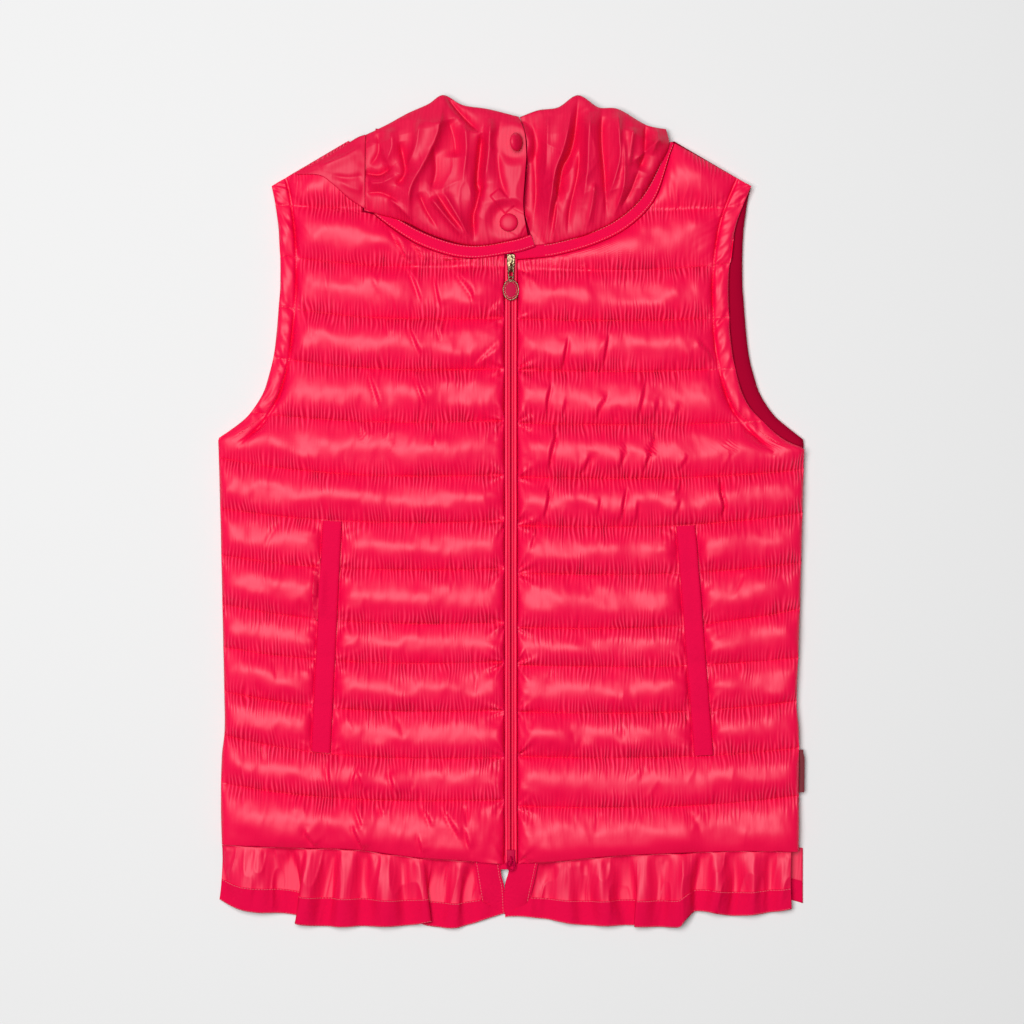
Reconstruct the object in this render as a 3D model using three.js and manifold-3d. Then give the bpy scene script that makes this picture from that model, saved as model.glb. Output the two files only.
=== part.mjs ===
// A quilted puffer vest with a gathered hood and a ruffled hem, laid flat on its back. Millimetres:
// +X to the right of the wearer's front as seen, +Y from hem to neck, +Z up from the surface it lies on.
import * as THREE from "three";
import { mergeVertices } from "three/addons/utils/BufferGeometryUtils.js";
import Module from "manifold-3d";

const wasm = await Module();
wasm.setup();

// Driving sizes
const seamGap = 0.3; // between pieces sewn to each other
const backTop = 8; // plain inside of the back panel
const frontBase = backTop + seamGap; // plain inside of the front panels
const shellThick = 2; // least thickness of a quilted panel, at its stitching
const crest = 9.5; // height of a channel's down over its stitching
const channelPitch = 41; // channel width that gives the full crest
const underarmY = 59.5;
const shoulder = { tipX: 197.2, tipY: 268.6, neckX: 134, neckY: 305.5 };
const armholeBand = 13; // width of the stitched edge round an armhole
const tapeWidth = 10.8; // ribbed neck binding
const tapeThick = 3;
const zip = { x: -0.5, leftEdge: -6.2, rightEdge: 5.2, top: 208, bottom: -289 };
const welt = { width: 16.4, thick: 2.4, leftTop: -155.3, leftLow: -164.8, rightTop: 134.8, rightLow: 149.7 };
const clothThick = 1.2; // nylon of hood and ruffles as built
const bandThick = 1.6; // ribbed band
const bandHeight = 18;
const capRadius = 7.5;

const shell = { color: 0xf0285a, roughness: 0.38, metalness: 0 };
const nylon = { color: 0xd81f4c, roughness: 0.32, metalness: 0 };
const grosgrain = { color: 0xe0063f, roughness: 0.85, metalness: 0 };
const gold = { color: 0xd9b979, roughness: 0.3, metalness: 1 };
const lacquer = { color: 0xb3123a, roughness: 0.25, metalness: 0.1 };
const maroon = { color: 0x6d1a2c, roughness: 0.8, metalness: 0 };

const vest = new THREE.Group();

// Tables: each row is one measured place on the garment, and a column is read between rows.
const sideSeamLeft = [
  { y: -292, x: -237.0 },
  { y: -272, x: -238.0 },
  { y: -240, x: -238.8 },
  { y: -200, x: -238.0 },
  { y: -180, x: -235.8 },
  { y: -150, x: -236.0 },
  { y: -80, x: -237.5 },
  { y: 0, x: -239.3 },
  { y: underarmY, x: -240.9 },
];
const sideSeamRight = [
  { y: -292, x: 235.6 },
  { y: -260, x: 236.4 },
  { y: -230, x: 236.2 },
  { y: -180, x: 236.3 },
  { y: -155, x: 234.3 },
  { y: -120, x: 235.8 },
  { y: -40, x: 238.2 },
  { y: 0, x: 239.2 },
  { y: underarmY, x: 240.8 },
];
const armhole = [
  { y: underarmY, x: 240.9 },
  { y: 69.3, x: 228.4 },
  { y: 79.1, x: 217.0 },
  { y: 89, x: 209.5 },
  { y: 98.8, x: 203.9 },
  { y: 108.6, x: 200.5 },
  { y: 128, x: 195.6 },
  { y: 148, x: 193.0 },
  { y: 168, x: 191.4 },
  { y: 187, x: 190.0 },
  { y: 224, x: 190.6 },
  { y: 254, x: 194.2 },
  { y: shoulder.tipY, x: shoulder.tipX },
];
// The right front has slipped towards the zip, so that the back shows past it.
const armholeRightFront = [
  { y: 52.5, x: 240.8 },
  { y: 58, x: 227.5 },
  { y: 67.7, x: 214.4 },
  { y: 88.2, x: 194.8 },
  { y: 114.4, x: 184.9 },
  { y: 141.5, x: 180.4 },
  { y: 168, x: 178.7 },
  { y: 195, x: 178.7 },
  { y: 219.4, x: 181.3 },
  { y: 240.7, x: 185.9 },
  { y: shoulder.tipY, x: shoulder.tipX },
];
const hemLine = [
  { x: -242, y: -272.5 },
  { x: -186, y: -275.1 },
  { x: -129, y: -276.8 },
  { x: -81, y: -283.0 },
  { x: -42, y: -285.8 },
  { x: -6, y: -288.4 },
  { x: 6, y: -288.4 },
  { x: 36, y: -286.6 },
  { x: 81, y: -282.3 },
  { x: 134, y: -279.7 },
  { x: 187, y: -277.9 },
  { x: 242, y: -278.8 },
];
// Quilting lines from hem to neck: height at the zip and at the side or armhole edge, on each front.
const quilting = [
  { zipLeft: -236.2, sideLeft: -221.8, zipRight: -241.5, sideRight: -232.5 },
  { zipLeft: -201.3, sideLeft: -182.8, zipRight: -200.5, sideRight: -193.4 },
  { zipLeft: -162.8, sideLeft: -146.9, zipRight: -163.8, sideRight: -154.9 },
  { zipLeft: -122.9, sideLeft: -110.3, zipRight: -125.5, sideRight: -119.3 },
  { zipLeft: -90.6, sideLeft: -75.0, zipRight: -94.5, sideRight: -79.1 },
  { zipLeft: -46.3, sideLeft: -34.9, zipRight: -50.0, sideRight: -41.1 },
  { zipLeft: -7.3, sideLeft: 3.4, zipRight: -10.9, sideRight: -0.2 },
  { zipLeft: 30.9, sideLeft: 45.1, zipRight: 29.1, sideRight: 35.3 },
  { zipLeft: 75.4, sideLeft: 82.4, zipRight: 73.6, sideRight: 75.0 },
  { zipLeft: 118.2, sideLeft: 127.9, zipRight: 117.3, sideRight: 118.5 },
  { zipLeft: 160.0, sideLeft: 169.7, zipRight: 159.1, sideRight: 160.5 },
  { zipLeft: 203.0, sideLeft: 211.6, zipRight: 200.0, sideRight: 205.0 },
  { zipLeft: 250.5, sideLeft: 253.0, zipRight: 250.2, sideRight: 251.5 },
];
const quiltSag = 1.6; // dip of a quilting line between zip and side
const lowestOnWelt = 1; // the welts run from this quilting line
const highestOnWelt = 6; // up to this one
// Neck binding, along its middle, from the centre front to the shoulder.
const neckTapeLeft = [
  { x: 17.6, y: 223.2, width: tapeWidth },
  { x: 6, y: 219.4, width: tapeWidth },
  { x: -6.2, y: 217.3, width: tapeWidth },
  { x: -29.5, y: 214.2, width: tapeWidth },
  { x: -51, y: 216.8, width: tapeWidth },
  { x: -76, y: 226.0, width: tapeWidth },
  { x: -97, y: 238.4, width: 9 },
  { x: -112, y: 248.6, width: 6 },
];
const neckTapeRight = [
  { x: 7.2, y: 213.4, width: tapeWidth },
  { x: 22, y: 214.8, width: tapeWidth },
  { x: 36.5, y: 216.8, width: tapeWidth },
  { x: 60.3, y: 223.2, width: tapeWidth },
  { x: 80.8, y: 231.6, width: tapeWidth },
  { x: 95.8, y: 241.2, width: tapeWidth },
  { x: 108.2, y: 253.0, width: tapeWidth },
  { x: 116.2, y: 265.0, width: 9.5 },
  { x: 122.6, y: 280.0, width: 6.5 },
  { x: 128.0, y: 295.0, width: 4.5 },
  { x: 132.0, y: 304.0, width: 3.5 },
];
// Outline of the heaped hood: its lower edge in the neck and its upper edge, from left to right.
const hoodLeftLow = [
  { x: -121.5, y: 254.0 },
  { x: -106.0, y: 250.6 },
  { x: -88.0, y: 240.6 },
  { x: -66.0, y: 229.6 },
  { x: -42.0, y: 221.9 },
  { x: -25.0, y: 220.3 },
  { x: -6.0, y: 223.6 },
  { x: 13.4, y: 230.8 },
];
const hoodLeftTop = [
  { x: -120.5, y: 310.2 },
  { x: -101.3, y: 319.4 },
  { x: -84.9, y: 328.4 },
  { x: -68.5, y: 335.8 },
  { x: -56.0, y: 343.2 },
  { x: -40.0, y: 335.0 },
  { x: -19.3, y: 331.7 },
  { x: 5.8, y: 325.4 },
];
const placket = [
  { t: 0, x: 13.4, y: 230.8 },
  { t: 0.22, x: 9.8, y: 248.9 },
  { t: 0.48, x: 11.1, y: 275.1 },
  { t: 0.68, x: 12.2, y: 293.2 },
  { t: 0.86, x: 10.7, y: 311.2 },
  { t: 1, x: 5.8, y: 325.4 },
];
const hoodRightLow = [
  { x: 16.8, y: 231.4 },
  { x: 34.0, y: 223.5 },
  { x: 45.5, y: 225.8 },
  { x: 60.3, y: 229.6 },
  { x: 78.5, y: 237.9 },
  { x: 92.0, y: 246.6 },
  { x: 103.4, y: 257.2 },
  { x: 111.0, y: 268.4 },
];
const hoodRightTop = [
  { x: 6.4, y: 325.2 },
  { x: 21.7, y: 330.9 },
  { x: 38.1, y: 333.3 },
  { x: 54.5, y: 343.2 },
  { x: 70.9, y: 333.3 },
  { x: 87.3, y: 331.7 },
  { x: 108.0, y: 319.0 },
  { x: 127.4, y: 312.0 },
];
const hoodRightSide = [
  { t: 0, x: 111.0, y: 268.4 },
  { t: 0.4, x: 119.0, y: 284.0 },
  { t: 0.75, x: 125.4, y: 299.0 },
  { t: 1, x: 127.4, y: 312.0 },
];
// Largest folds of the hood: a ridge or, with a negative rise, a valley from its low to its high end.
const hoodFolds = [
  { lowX: -86, lowY: 240, highX: -56, highY: 332, rise: 5, width: 7 },
  { lowX: -66, lowY: 232, highX: -66, highY: 318, rise: -3, width: 5 },
  { lowX: -48, lowY: 228, highX: -40, highY: 326, rise: 4, width: 6 },
  { lowX: -32, lowY: 225, highX: -21, highY: 318, rise: -6, width: 4.5 },
  { lowX: -14, lowY: 244, highX: -9, highY: 322, rise: 3, width: 6 },
  { lowX: -112, lowY: 268, highX: -78, highY: 284, rise: -4, width: 5 },
  { lowX: -108, lowY: 288, highX: -76, highY: 312, rise: 4, width: 6 },
  { lowX: 24, lowY: 232, highX: 30, highY: 322, rise: 3.5, width: 6 },
  { lowX: 34, lowY: 228, highX: 52, highY: 334, rise: -6, width: 4.5 },
  { lowX: 58, lowY: 234, highX: 60, highY: 330, rise: 4, width: 6 },
  { lowX: 77, lowY: 240, highX: 72, highY: 328, rise: -5, width: 4 },
  { lowX: 84, lowY: 262, highX: 86, highY: 326, rise: 5, width: 6 },
  { lowX: 101, lowY: 284, highX: 110, highY: 316, rise: -4, width: 4.5 },
];
const wingTop = [
  { x: -176.4, y: 279.0 },
  { x: -157, y: 288.6 },
  { x: -140.6, y: 298.5 },
  { x: -128.0, y: 307.0 },
  { x: -121.0, y: 309.6 },
];
const wingLow = [
  { x: -176.2, y: 277.6 },
  { x: -158, y: 276.4 },
  { x: -146, y: 268.6 },
  { x: -133, y: 258.2 },
  { x: -122.0, y: 253.6 },
];
// Flounces of the hem: height of the cloth over its lowest, along the lower edge.
const flouncesLeft = [
  { x: -241, rise: 2 },
  { x: -222, rise: 7 },
  { x: -205, rise: 8 },
  { x: -191, rise: 5 },
  { x: -183, rise: 1 },
  { x: -175, rise: 8 },
  { x: -160, rise: 3 },
  { x: -143, rise: 8 },
  { x: -122, rise: 3 },
  { x: -105, rise: 8 },
  { x: -88, rise: 5 },
  { x: -71, rise: 9 },
  { x: -63, rise: 2 },
  { x: -48, rise: 6 },
  { x: -38, rise: 2 },
  { x: -27, rise: 4 },
  { x: -4, rise: 3 },
];
const flouncesRight = [
  { x: -4, rise: 3 },
  { x: 16, rise: 5 },
  { x: 30, rise: 2 },
  { x: 45, rise: 7 },
  { x: 60, rise: 3 },
  { x: 78, rise: 8 },
  { x: 94, rise: 3 },
  { x: 109, rise: 7 },
  { x: 121, rise: 4 },
  { x: 139, rise: 9 },
  { x: 148, rise: 3 },
  { x: 164, rise: 9 },
  { x: 180, rise: 3 },
  { x: 196, rise: 8 },
  { x: 212, rise: 4 },
  { x: 231, rise: 7 },
];
const lowerEdgeLeft = [
  { x: -240.7, y: -318.6 },
  { x: -223.5, y: -326.8 },
  { x: -207.9, y: -328.9 },
  { x: -186, y: -329.4 },
  { x: -177.5, y: -336.6 },
  { x: -166, y: -339.9 },
  { x: -130.8, y: -340.7 },
  { x: -92.3, y: -340.3 },
  { x: -66, y: -336.6 },
  { x: -45.5, y: -342.0 },
  { x: -26, y: -337.0 },
  { x: -5.2, y: -329.8 },
];
const lowerEdgeRight = [
  { x: -4.0, y: -332.8 },
  { x: 12, y: -332.4 },
  { x: 27.5, y: -334.6 },
  { x: 62.7, y: -339.9 },
  { x: 98.8, y: -339.9 },
  { x: 125, y: -341.0 },
  { x: 138.0, y: -340.4 },
  { x: 150.5, y: -327.6 },
  { x: 163, y: -328.6 },
  { x: 180, y: -332.1 },
  { x: 205.4, y: -330.0 },
  { x: 230, y: -326.0 },
];
const endBandLeft = { topX: -30.8, topY: -286.9, edgeX: -7.4, edgeY: -289.4, mitreX: -25.8, mitreY: -315.3 };
const endBandRight = { topX: 22.1, topY: -288.0, edgeX: -2.4, edgeY: -289.4, mitreX: 16, mitreY: -312.8 };
const meetY = -308; // below this the two end bands lie edge to edge
const meetX = -4.7;

// Value of a column between rows, by a cubic through them.
function read(table, by, column, at) {
  const last = table.length - 1;
  const sign = table[last][by] > table[0][by] ? 1 : -1;
  let i = 0;
  while (i < last - 1 && sign * (at - table[i + 1][by]) > 0) i++;
  const slope = (k) => {
    const a = table[Math.max(k - 1, 0)];
    const b = table[Math.min(k + 1, last)];
    return (b[column] - a[column]) / (b[by] - a[by]);
  };
  const p = table[i];
  const q = table[i + 1];
  const span = q[by] - p[by];
  const t = THREE.MathUtils.clamp((at - p[by]) / span, 0, 1);
  const t2 = t * t;
  const t3 = t2 * t;
  return (
    p[column] * (2 * t3 - 3 * t2 + 1) +
    q[column] * (3 * t2 - 2 * t3) +
    slope(i) * span * (t3 - 2 * t2 + t) +
    slope(i + 1) * span * (t3 - t2)
  );
}

const smooth = (value, low, high) => THREE.MathUtils.smoothstep(value, low, high);
const mix = THREE.MathUtils.lerp;

function addMesh(name, geometry, look) {
  const mesh = new THREE.Mesh(geometry, new THREE.MeshStandardMaterial(look));
  mesh.name = name;
  vest.add(mesh);
  return mesh;
}

function geometryOf(points, faces) {
  const geometry = new THREE.BufferGeometry();
  geometry.setAttribute("position", new THREE.Float32BufferAttribute(points.flat(), 3));
  geometry.setIndex(faces.flat());
  return geometry;
}

// Indices round the rim of a grid, counter-clockwise when rows go up in Y and columns go right.
function rimOf(rows, columns) {
  const rim = [];
  for (let j = 0; j < columns; j++) rim.push(j);
  for (let i = 1; i < rows; i++) rim.push(i * columns + columns - 1);
  for (let j = columns - 2; j >= 0; j--) rim.push((rows - 1) * columns + j);
  for (let i = rows - 2; i > 0; i--) rim.push(i * columns);
  return rim;
}

function gridFaces(rows, columns, offset, up) {
  const faces = [];
  for (let i = 0; i < rows - 1; i++) {
    for (let j = 0; j < columns - 1; j++) {
      const a = offset + i * columns + j;
      const b = a + 1;
      const c = a + columns;
      const d = c + 1;
      faces.push(...(up ? [[a, b, d], [a, d, c]] : [[a, d, b], [a, c, d]]));
    }
  }
  return faces;
}

function bandFaces(upper, lower) {
  return upper.flatMap((a, k) => {
    const b = upper[(k + 1) % upper.length];
    const c = lower[k];
    const d = lower[(k + 1) % lower.length];
    return [[a, c, d], [a, d, b]];
  });
}

// Closed piece under a grid of upper points, with upright edges and a plain face at height base.
function mound(grid, base) {
  const rows = grid.length;
  const columns = grid[0].length;
  const points = grid.flat();
  const rim = rimOf(rows, columns);
  const outline = rim.map((k) => new THREE.Vector2(points[k][0], points[k][1]));
  const start = points.length;
  outline.forEach((p) => points.push([p.x, p.y, base]));
  const lower = outline.map((p, k) => start + k);
  const flat = THREE.ShapeUtils.triangulateShape(outline, []);
  const under = flat.map(([a, b, c]) => [start + a, start + c, start + b]);
  return geometryOf(points, [...gridFaces(rows, columns, 0, true), ...bandFaces(rim, lower), ...under]);
}

// Closed wall between two grids with the same rows and columns.
function wall(upper, lower) {
  const rows = upper.length;
  const columns = upper[0].length;
  const start = rows * columns;
  const rim = rimOf(rows, columns);
  const faces = [
    ...gridFaces(rows, columns, 0, true),
    ...gridFaces(rows, columns, start, false),
    ...bandFaces(rim, rim.map((k) => start + k)),
  ];
  return geometryOf([...upper.flat(), ...lower.flat()], faces);
}

// Closed slab with a counter-clockwise outline, its lower edge rounded under.
function slab(outline, top, bottom, round) {
  const inward = outline.map((p, k) => {
    const before = outline[(k + outline.length - 1) % outline.length];
    const after = outline[(k + 1) % outline.length];
    const along = after.clone().sub(before).normalize();
    return new THREE.Vector2(-along.y, along.x);
  });
  const turns = [
    { inset: 0, z: top },
    { inset: 0, z: bottom + round },
    { inset: round * 0.3, z: bottom + round * 0.3 },
    { inset: round, z: bottom },
  ];
  const points = [];
  turns.forEach(({ inset, z }) =>
    outline.forEach((p, k) => points.push([p.x + inward[k].x * inset, p.y + inward[k].y * inset, z])),
  );
  const ring = (n) => outline.map((p, k) => n * outline.length + k);
  const cap = THREE.ShapeUtils.triangulateShape(outline, []);
  const lowest = ring(turns.length - 1)[0];
  const faces = [
    ...cap,
    ...cap.map(([a, b, c]) => [lowest + a, lowest + c, lowest + b]),
    ...turns.slice(1).flatMap((turn, n) => bandFaces(ring(n), ring(n + 1))),
  ];
  return geometryOf(points, faces);
}

function solidOf(geometry) {
  const plain = geometry.index ? geometry.toNonIndexed() : geometry.clone();
  plain.deleteAttribute("normal");
  plain.deleteAttribute("uv");
  const merged = mergeVertices(plain, 1e-4);
  const mesh = new wasm.Mesh({
    numProp: 3,
    vertProperties: merged.attributes.position.array,
    triVerts: new Uint32Array(merged.index.array),
  });
  return new wasm.Manifold(mesh);
}

function joined(geometries) {
  const whole = geometries.map(solidOf).reduce((a, b) => a.add(b)).getMesh();
  const geometry = new THREE.BufferGeometry();
  geometry.setAttribute("position", new THREE.Float32BufferAttribute(whole.vertProperties, 3));
  geometry.setIndex([...whole.triVerts]);
  return geometry;
}

// The two fronts
const leftFront = {
  side: -1,
  zipX: zip.leftEdge,
  zipColumn: "zipLeft",
  sideColumn: "sideLeft",
  armhole: armhole.map((row) => ({ y: row.y, x: -row.x })),
  seam: sideSeamLeft,
  weltTop: welt.leftTop,
  weltLow: welt.leftLow,
};
const rightFront = {
  side: 1,
  zipX: zip.rightEdge,
  zipColumn: "zipRight",
  sideColumn: "sideRight",
  armhole: armholeRightFront,
  seam: sideSeamRight,
  weltTop: welt.rightTop,
  weltLow: welt.rightLow,
};

function edgeX(front, y) {
  const open = front.armhole[0].y;
  return y > open ? read(front.armhole, "y", "x", y) : read(front.seam, "y", "x", y);
}

function quiltY(front, line, x) {
  if (line < 0) return read(hemLine, "x", "y", x);
  const row = quilting[line];
  const zipY = row[front.zipColumn];
  const sideY = row[front.sideColumn];
  const share = Math.min(Math.abs((x - front.zipX) / (edgeX(front, sideY) - front.zipX)), 1.2);
  return zipY + (sideY - zipY) * share ** 3 - quiltSag * Math.sin(Math.PI * Math.min(share, 1));
}

function shoulderY(x) {
  const share = (Math.abs(x) - shoulder.neckX) / (shoulder.tipX - shoulder.neckX);
  return mix(shoulder.neckY, shoulder.tipY, share);
}

// Left edge of a welt's strip at height y, on the line that the strip follows.
function weltX(front, y) {
  const highY = quilting[highestOnWelt][front.zipColumn];
  const lowY = quilting[lowestOnWelt][front.zipColumn];
  return mix(front.weltLow, front.weltTop, (y - lowY) / (highY - lowY));
}

// Height of a front's outer face over its plain inside.
function puff(front, x, y, neckDistance = 99) {
  let line = quilting.length - 1;
  while (line >= 0 && y < quiltY(front, line, x)) line--;
  const low = quiltY(front, line, x);
  const isTop = line === quilting.length - 1;
  const high = isTop ? shoulderY(x) : quiltY(front, line + 1, x);
  const share = THREE.MathUtils.clamp((y - low) / Math.max(high - low, 6), 0, 1);
  const pitch = Math.min((high - low) / channelPitch, 1.05);
  let fill = crest * pitch * Math.sin(Math.PI * share) ** 0.7;
  if (line < 0) fill = Math.max(fill, crest * 0.5 * (1 - share));
  const fromEdge = Math.abs(x - edgeX(front, y));
  const fromZip = Math.abs(x - front.zipX);
  const alongArmhole = smooth(y, front.armhole[0].y - 6, front.armhole[0].y + 10);
  const band = Math.min(1, Math.abs(fromEdge - armholeBand) / 14);
  const atSeam = mix(1, fromEdge < armholeBand ? 0.35 * Math.min(1, fromEdge / 5) : band, alongArmhole);
  const atSide = mix(Math.sqrt(Math.min(1, fromEdge / 20)), 1, alongArmhole);
  const atZip = 0.3 + 0.7 * Math.min(1, fromZip / 18) ** 0.7;
  const atNeck = 0.4 + 0.6 * Math.sqrt(Math.min(1, neckDistance / 16));
  return shellThick + fill * atSeam * atSide * atZip * atNeck;
}

// Height of the bed that a welt lies on.
function bedHeight(front, x, y) {
  return shellThick + 1.2 + 0.22 * (puff(front, x, y) - shellThick);
}

const subRows = [0, 0.2, 0.5, 0.8];

// Outer edge of a neck binding at share t of its length, moved out by a distance.
function tapeSide(table, t, out) {
  const along = new THREE.SplineCurve(table.map((row) => new THREE.Vector2(row.x, row.y)));
  const p = along.getPoint(t);
  const tangent = along.getTangent(t);
  const place = t * (table.length - 1);
  const i = Math.min(Math.floor(place), table.length - 2);
  const width = mix(table[i].width, table[i + 1].width, place - i);
  return new THREE.Vector2(p.x - tangent.y * (width / 2 + out), p.y + tangent.x * (width / 2 + out));
}

// Points of a front's neckline, from the zip to the shoulder, just clear of the binding. On the left the
// binding ends under the hood, and the panel then runs up along the hood's side.
const neckTurn = 0.62;
const neckGap = seamGap + 0.15;
function neckline(front, t) {
  if (front.side > 0) {
    const along = mix(0.02, 1, t);
    return tapeSide(neckTapeRight, along, -tapeWidthAt(neckTapeRight, along) - neckGap);
  }
  if (t <= neckTurn) return tapeSide(neckTapeLeft, mix(0.29, 1, t / neckTurn), neckGap);
  const rise = (t - neckTurn) / (1 - neckTurn);
  const toShoulder = Math.max(0, rise - 0.72) / 0.28;
  const hoodSide = hoodLeftLow[0].x - 0.8;
  return new THREE.Vector2(mix(hoodSide, -shoulder.neckX, toShoulder), mix(246.5, shoulder.neckY, rise));
}

function tapeWidthAt(table, t) {
  const place = t * (table.length - 1);
  const i = Math.min(Math.floor(place), table.length - 2);
  return mix(table[i].width, table[i + 1].width, place - i);
}

// Shares of a row's width at which its columns stand; the welt's strip has two columns of its own.
function columnShares(front, y) {
  const edge = edgeX(front, y);
  const width = front.zipX - edge;
  const inWelt = weltX(front, y) + (front.side > 0 ? 0 : welt.width);
  const outWelt = inWelt + front.side * welt.width;
  const at = (x) => (x - edge) / width;
  const seam = at(edge - front.side * armholeBand);
  const lip = at(outWelt + front.side * 5);
  const shares = [0, seam * 0.45, seam];
  [0.3, 0.65].forEach((s) => shares.push(mix(seam, lip, s)));
  shares.push(lip, at(outWelt), at(inWelt));
  [0.07, 0.3, 0.55, 0.78, 0.93, 1].forEach((s) => shares.push(mix(at(inWelt), 1, s)));
  return shares;
}
const weltColumns = { lip: 5, outer: 6, inner: 7 };

// Grid of a front's outer points: rows follow the quilting, columns run from the side to the zip.
function frontGrid(front) {
  const grid = [];
  const isWelt = (line, j) =>
    line >= lowestOnWelt && line < highestOnWelt && j >= weltColumns.lip && j <= weltColumns.inner;
  const neckLineCount = quilting.length - 2;
  const addRow = (sidePoint, innerPoint, shares, line, part, neckDistance) => {
    const row = shares.map((s, j) => {
      let x = mix(sidePoint.x, innerPoint.x, s);
      let y = mix(sidePoint.y, innerPoint.y, s);
      if (line < neckLineCount) {
        const low = quiltY(front, line, x);
        y = mix(low, quiltY(front, line + 1, x), part);
      }
      const onWelt = isWelt(line, j) || (line === highestOnWelt && part === 0 && isWelt(line - 1, j));
      const near = neckDistance === null ? 99 : Math.abs(1 - s) * Math.abs(innerPoint.x - sidePoint.x);
      const lift = onWelt ? bedHeight(front, x, y) : puff(front, x, y, near);
      return [x, y, frontBase + lift];
    });
    grid.push(row);
  };
  for (let line = -1; line < neckLineCount; line++) {
    for (const part of subRows) {
      const sideLow = quiltY(front, line, front.side * 238);
      const low = line < 0 ? sideLow : quilting[line][front.sideColumn];
      const high = quilting[line + 1][front.sideColumn];
      const sideY = mix(low, high, part);
      const shares = columnShares(front, sideY);
      addRow({ x: edgeX(front, sideY), y: sideY }, { x: front.zipX, y: 0 }, shares, line, part, null);
    }
  }
  // Above the highest line that reaches the zip, the rows fan out to the neckline and the shoulder.
  const lineTop = quilting[neckLineCount];
  const upper = quilting[neckLineCount + 1];
  const shares = columnShares(front, lineTop[front.sideColumn]);
  const fan = [{ sideY: lineTop[front.sideColumn], neck: null }];
  const neckSteps = 9;
  for (let k = 0; k <= neckSteps; k++) {
    const sideY = mix(lineTop[front.sideColumn], upper[front.sideColumn], mix(0.12, 1, k / neckSteps));
    fan.push({ sideY, neck: (neckTurn * k) / neckSteps });
  }
  for (const share of [0.12, 0.34, 0.56, 0.78, 1]) {
    const sideY = mix(upper[front.sideColumn], shoulder.tipY - 0.4, share);
    fan.push({ sideY, neck: mix(neckTurn, 1, share) });
  }
  fan.forEach(({ sideY, neck }) => {
    const atZip = new THREE.Vector2(front.zipX, lineTop[front.zipColumn]);
    const inner = neck === null ? atZip : neckline(front, neck);
    addRow({ x: edgeX(front, sideY), y: sideY }, inner, shares, neckLineCount, 0.5, neck);
  });
  // Columns run left to right in the finished grid.
  return front.side < 0 ? grid : grid.map((row) => row.reverse());
}

// Strip that lies on a front over its columns from first to last, moved out by the seam gap.
function stripOn(grid, rows, first, last, thick, side) {
  const pick = (row) => {
    const columns = side < 0 ? [first, last] : [row.length - 1 - last, row.length - 1 - first];
    const [a, b] = columns.map((j) => row[j]);
    return [0.02, 0.12, 0.88, 0.98].map((s) => a.map((v, k) => mix(v, b[k], s)));
  };
  const lower = rows.map((i) => pick(grid[i]).map(([x, y, z]) => [x, y, z + seamGap]));
  const upper = lower.map((row, i) =>
    row.map(([x, y, z], j) => {
      const rim = j === 0 || j === 3 || i === 0 || i === lower.length - 1;
      return [x, y, z + (rim ? thick * 0.65 : thick)];
    }),
  );
  return wall(upper, lower);
}

const rowOfLine = (line) => (line + 1) * subRows.length;
const span = (from, to) => Array.from({ length: to - from + 1 }, (v, k) => from + k);

const leftGrid = frontGrid(leftFront);
const rightGrid = frontGrid(rightFront);
addMesh("front_left", mound(leftGrid, frontBase), shell);
addMesh("front_right", mound(rightGrid, frontBase), shell);
const weltRows = span(rowOfLine(lowestOnWelt), rowOfLine(highestOnWelt));
const weltOn = (grid, side) =>
  stripOn(grid, weltRows, weltColumns.outer, weltColumns.inner, welt.thick, side);
addMesh("welt_left", weltOn(leftGrid, -1), grosgrain);
addMesh("welt_right", weltOn(rightGrid, 1), grosgrain);
const facingRows = span(rowOfLine(4), rowOfLine(5) + 1);
const facing = stripOn(leftGrid, facingRows, weltColumns.lip, weltColumns.outer, 1.2, -1);
addMesh("pocket_facing_left", facing, nylon);

// Back panel: plain inside at its top, flat where it rests
const backHemY = (x) => -276 + 24 * (1 - (x / 240) ** 2);
const backNeckY = (x) => shoulder.neckY - 14 * (1 - (x / shoulder.neckX) ** 2);

function backOutline() {
  const outline = [];
  const add = (x, y) => outline.push(new THREE.Vector2(x, y));
  for (let x = -234; x <= 232; x += 23.3) add(x, backHemY(x));
  for (let y = -268; y < 50; y += 26) add(read(sideSeamRight, "y", "x", y), y);
  armhole.forEach((row) => add(row.x, row.y));
  const slope = (t) => [mix(shoulder.tipX, shoulder.neckX, t), mix(shoulder.tipY, shoulder.neckY, t)];
  for (let k = 1; k < 4; k++) add(...slope(k / 4));
  for (let x = shoulder.neckX; x >= -shoulder.neckX; x -= shoulder.neckX / 6) add(x, backNeckY(x));
  for (let k = 3; k > 0; k--) {
    const [x, y] = slope(k / 4);
    add(-x, y);
  }
  [...armhole].reverse().forEach((row) => add(-row.x, row.y));
  for (let y = 40; y > -270; y -= 26) add(read(sideSeamLeft, "y", "x", y), y);
  return outline;
}
addMesh("back", slab(backOutline(), backTop, 0, 4), shell);

// Ribbed binding round the neck. The left end laps over the right one at the centre front.
function ribbon(table, steps, from, to, baseAt, thick) {
  const offsets = [-1, -0.72, 0.72, 1];
  const upper = [];
  const lower = [];
  for (let k = 0; k <= steps; k++) {
    const t = mix(from, to, k / steps);
    const a = tapeSide(table, t, 0);
    const b = tapeSide(table, t, -tapeWidthAt(table, t));
    const base = baseAt((a.x + b.x) / 2);
    const rim = k === 0 || k === steps;
    const row = (lift) => offsets.map((o, j) => {
      const side = Math.abs(o) === 1 || rim;
      const height = lift && side ? lift * 0.7 : lift;
      return [mix(b.x, a.x, (o + 1) / 2), mix(b.y, a.y, (o + 1) / 2), base + height];
    });
    upper.push(row(thick));
    lower.push(row(0));
  }
  return { upper, lower };
}

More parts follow.
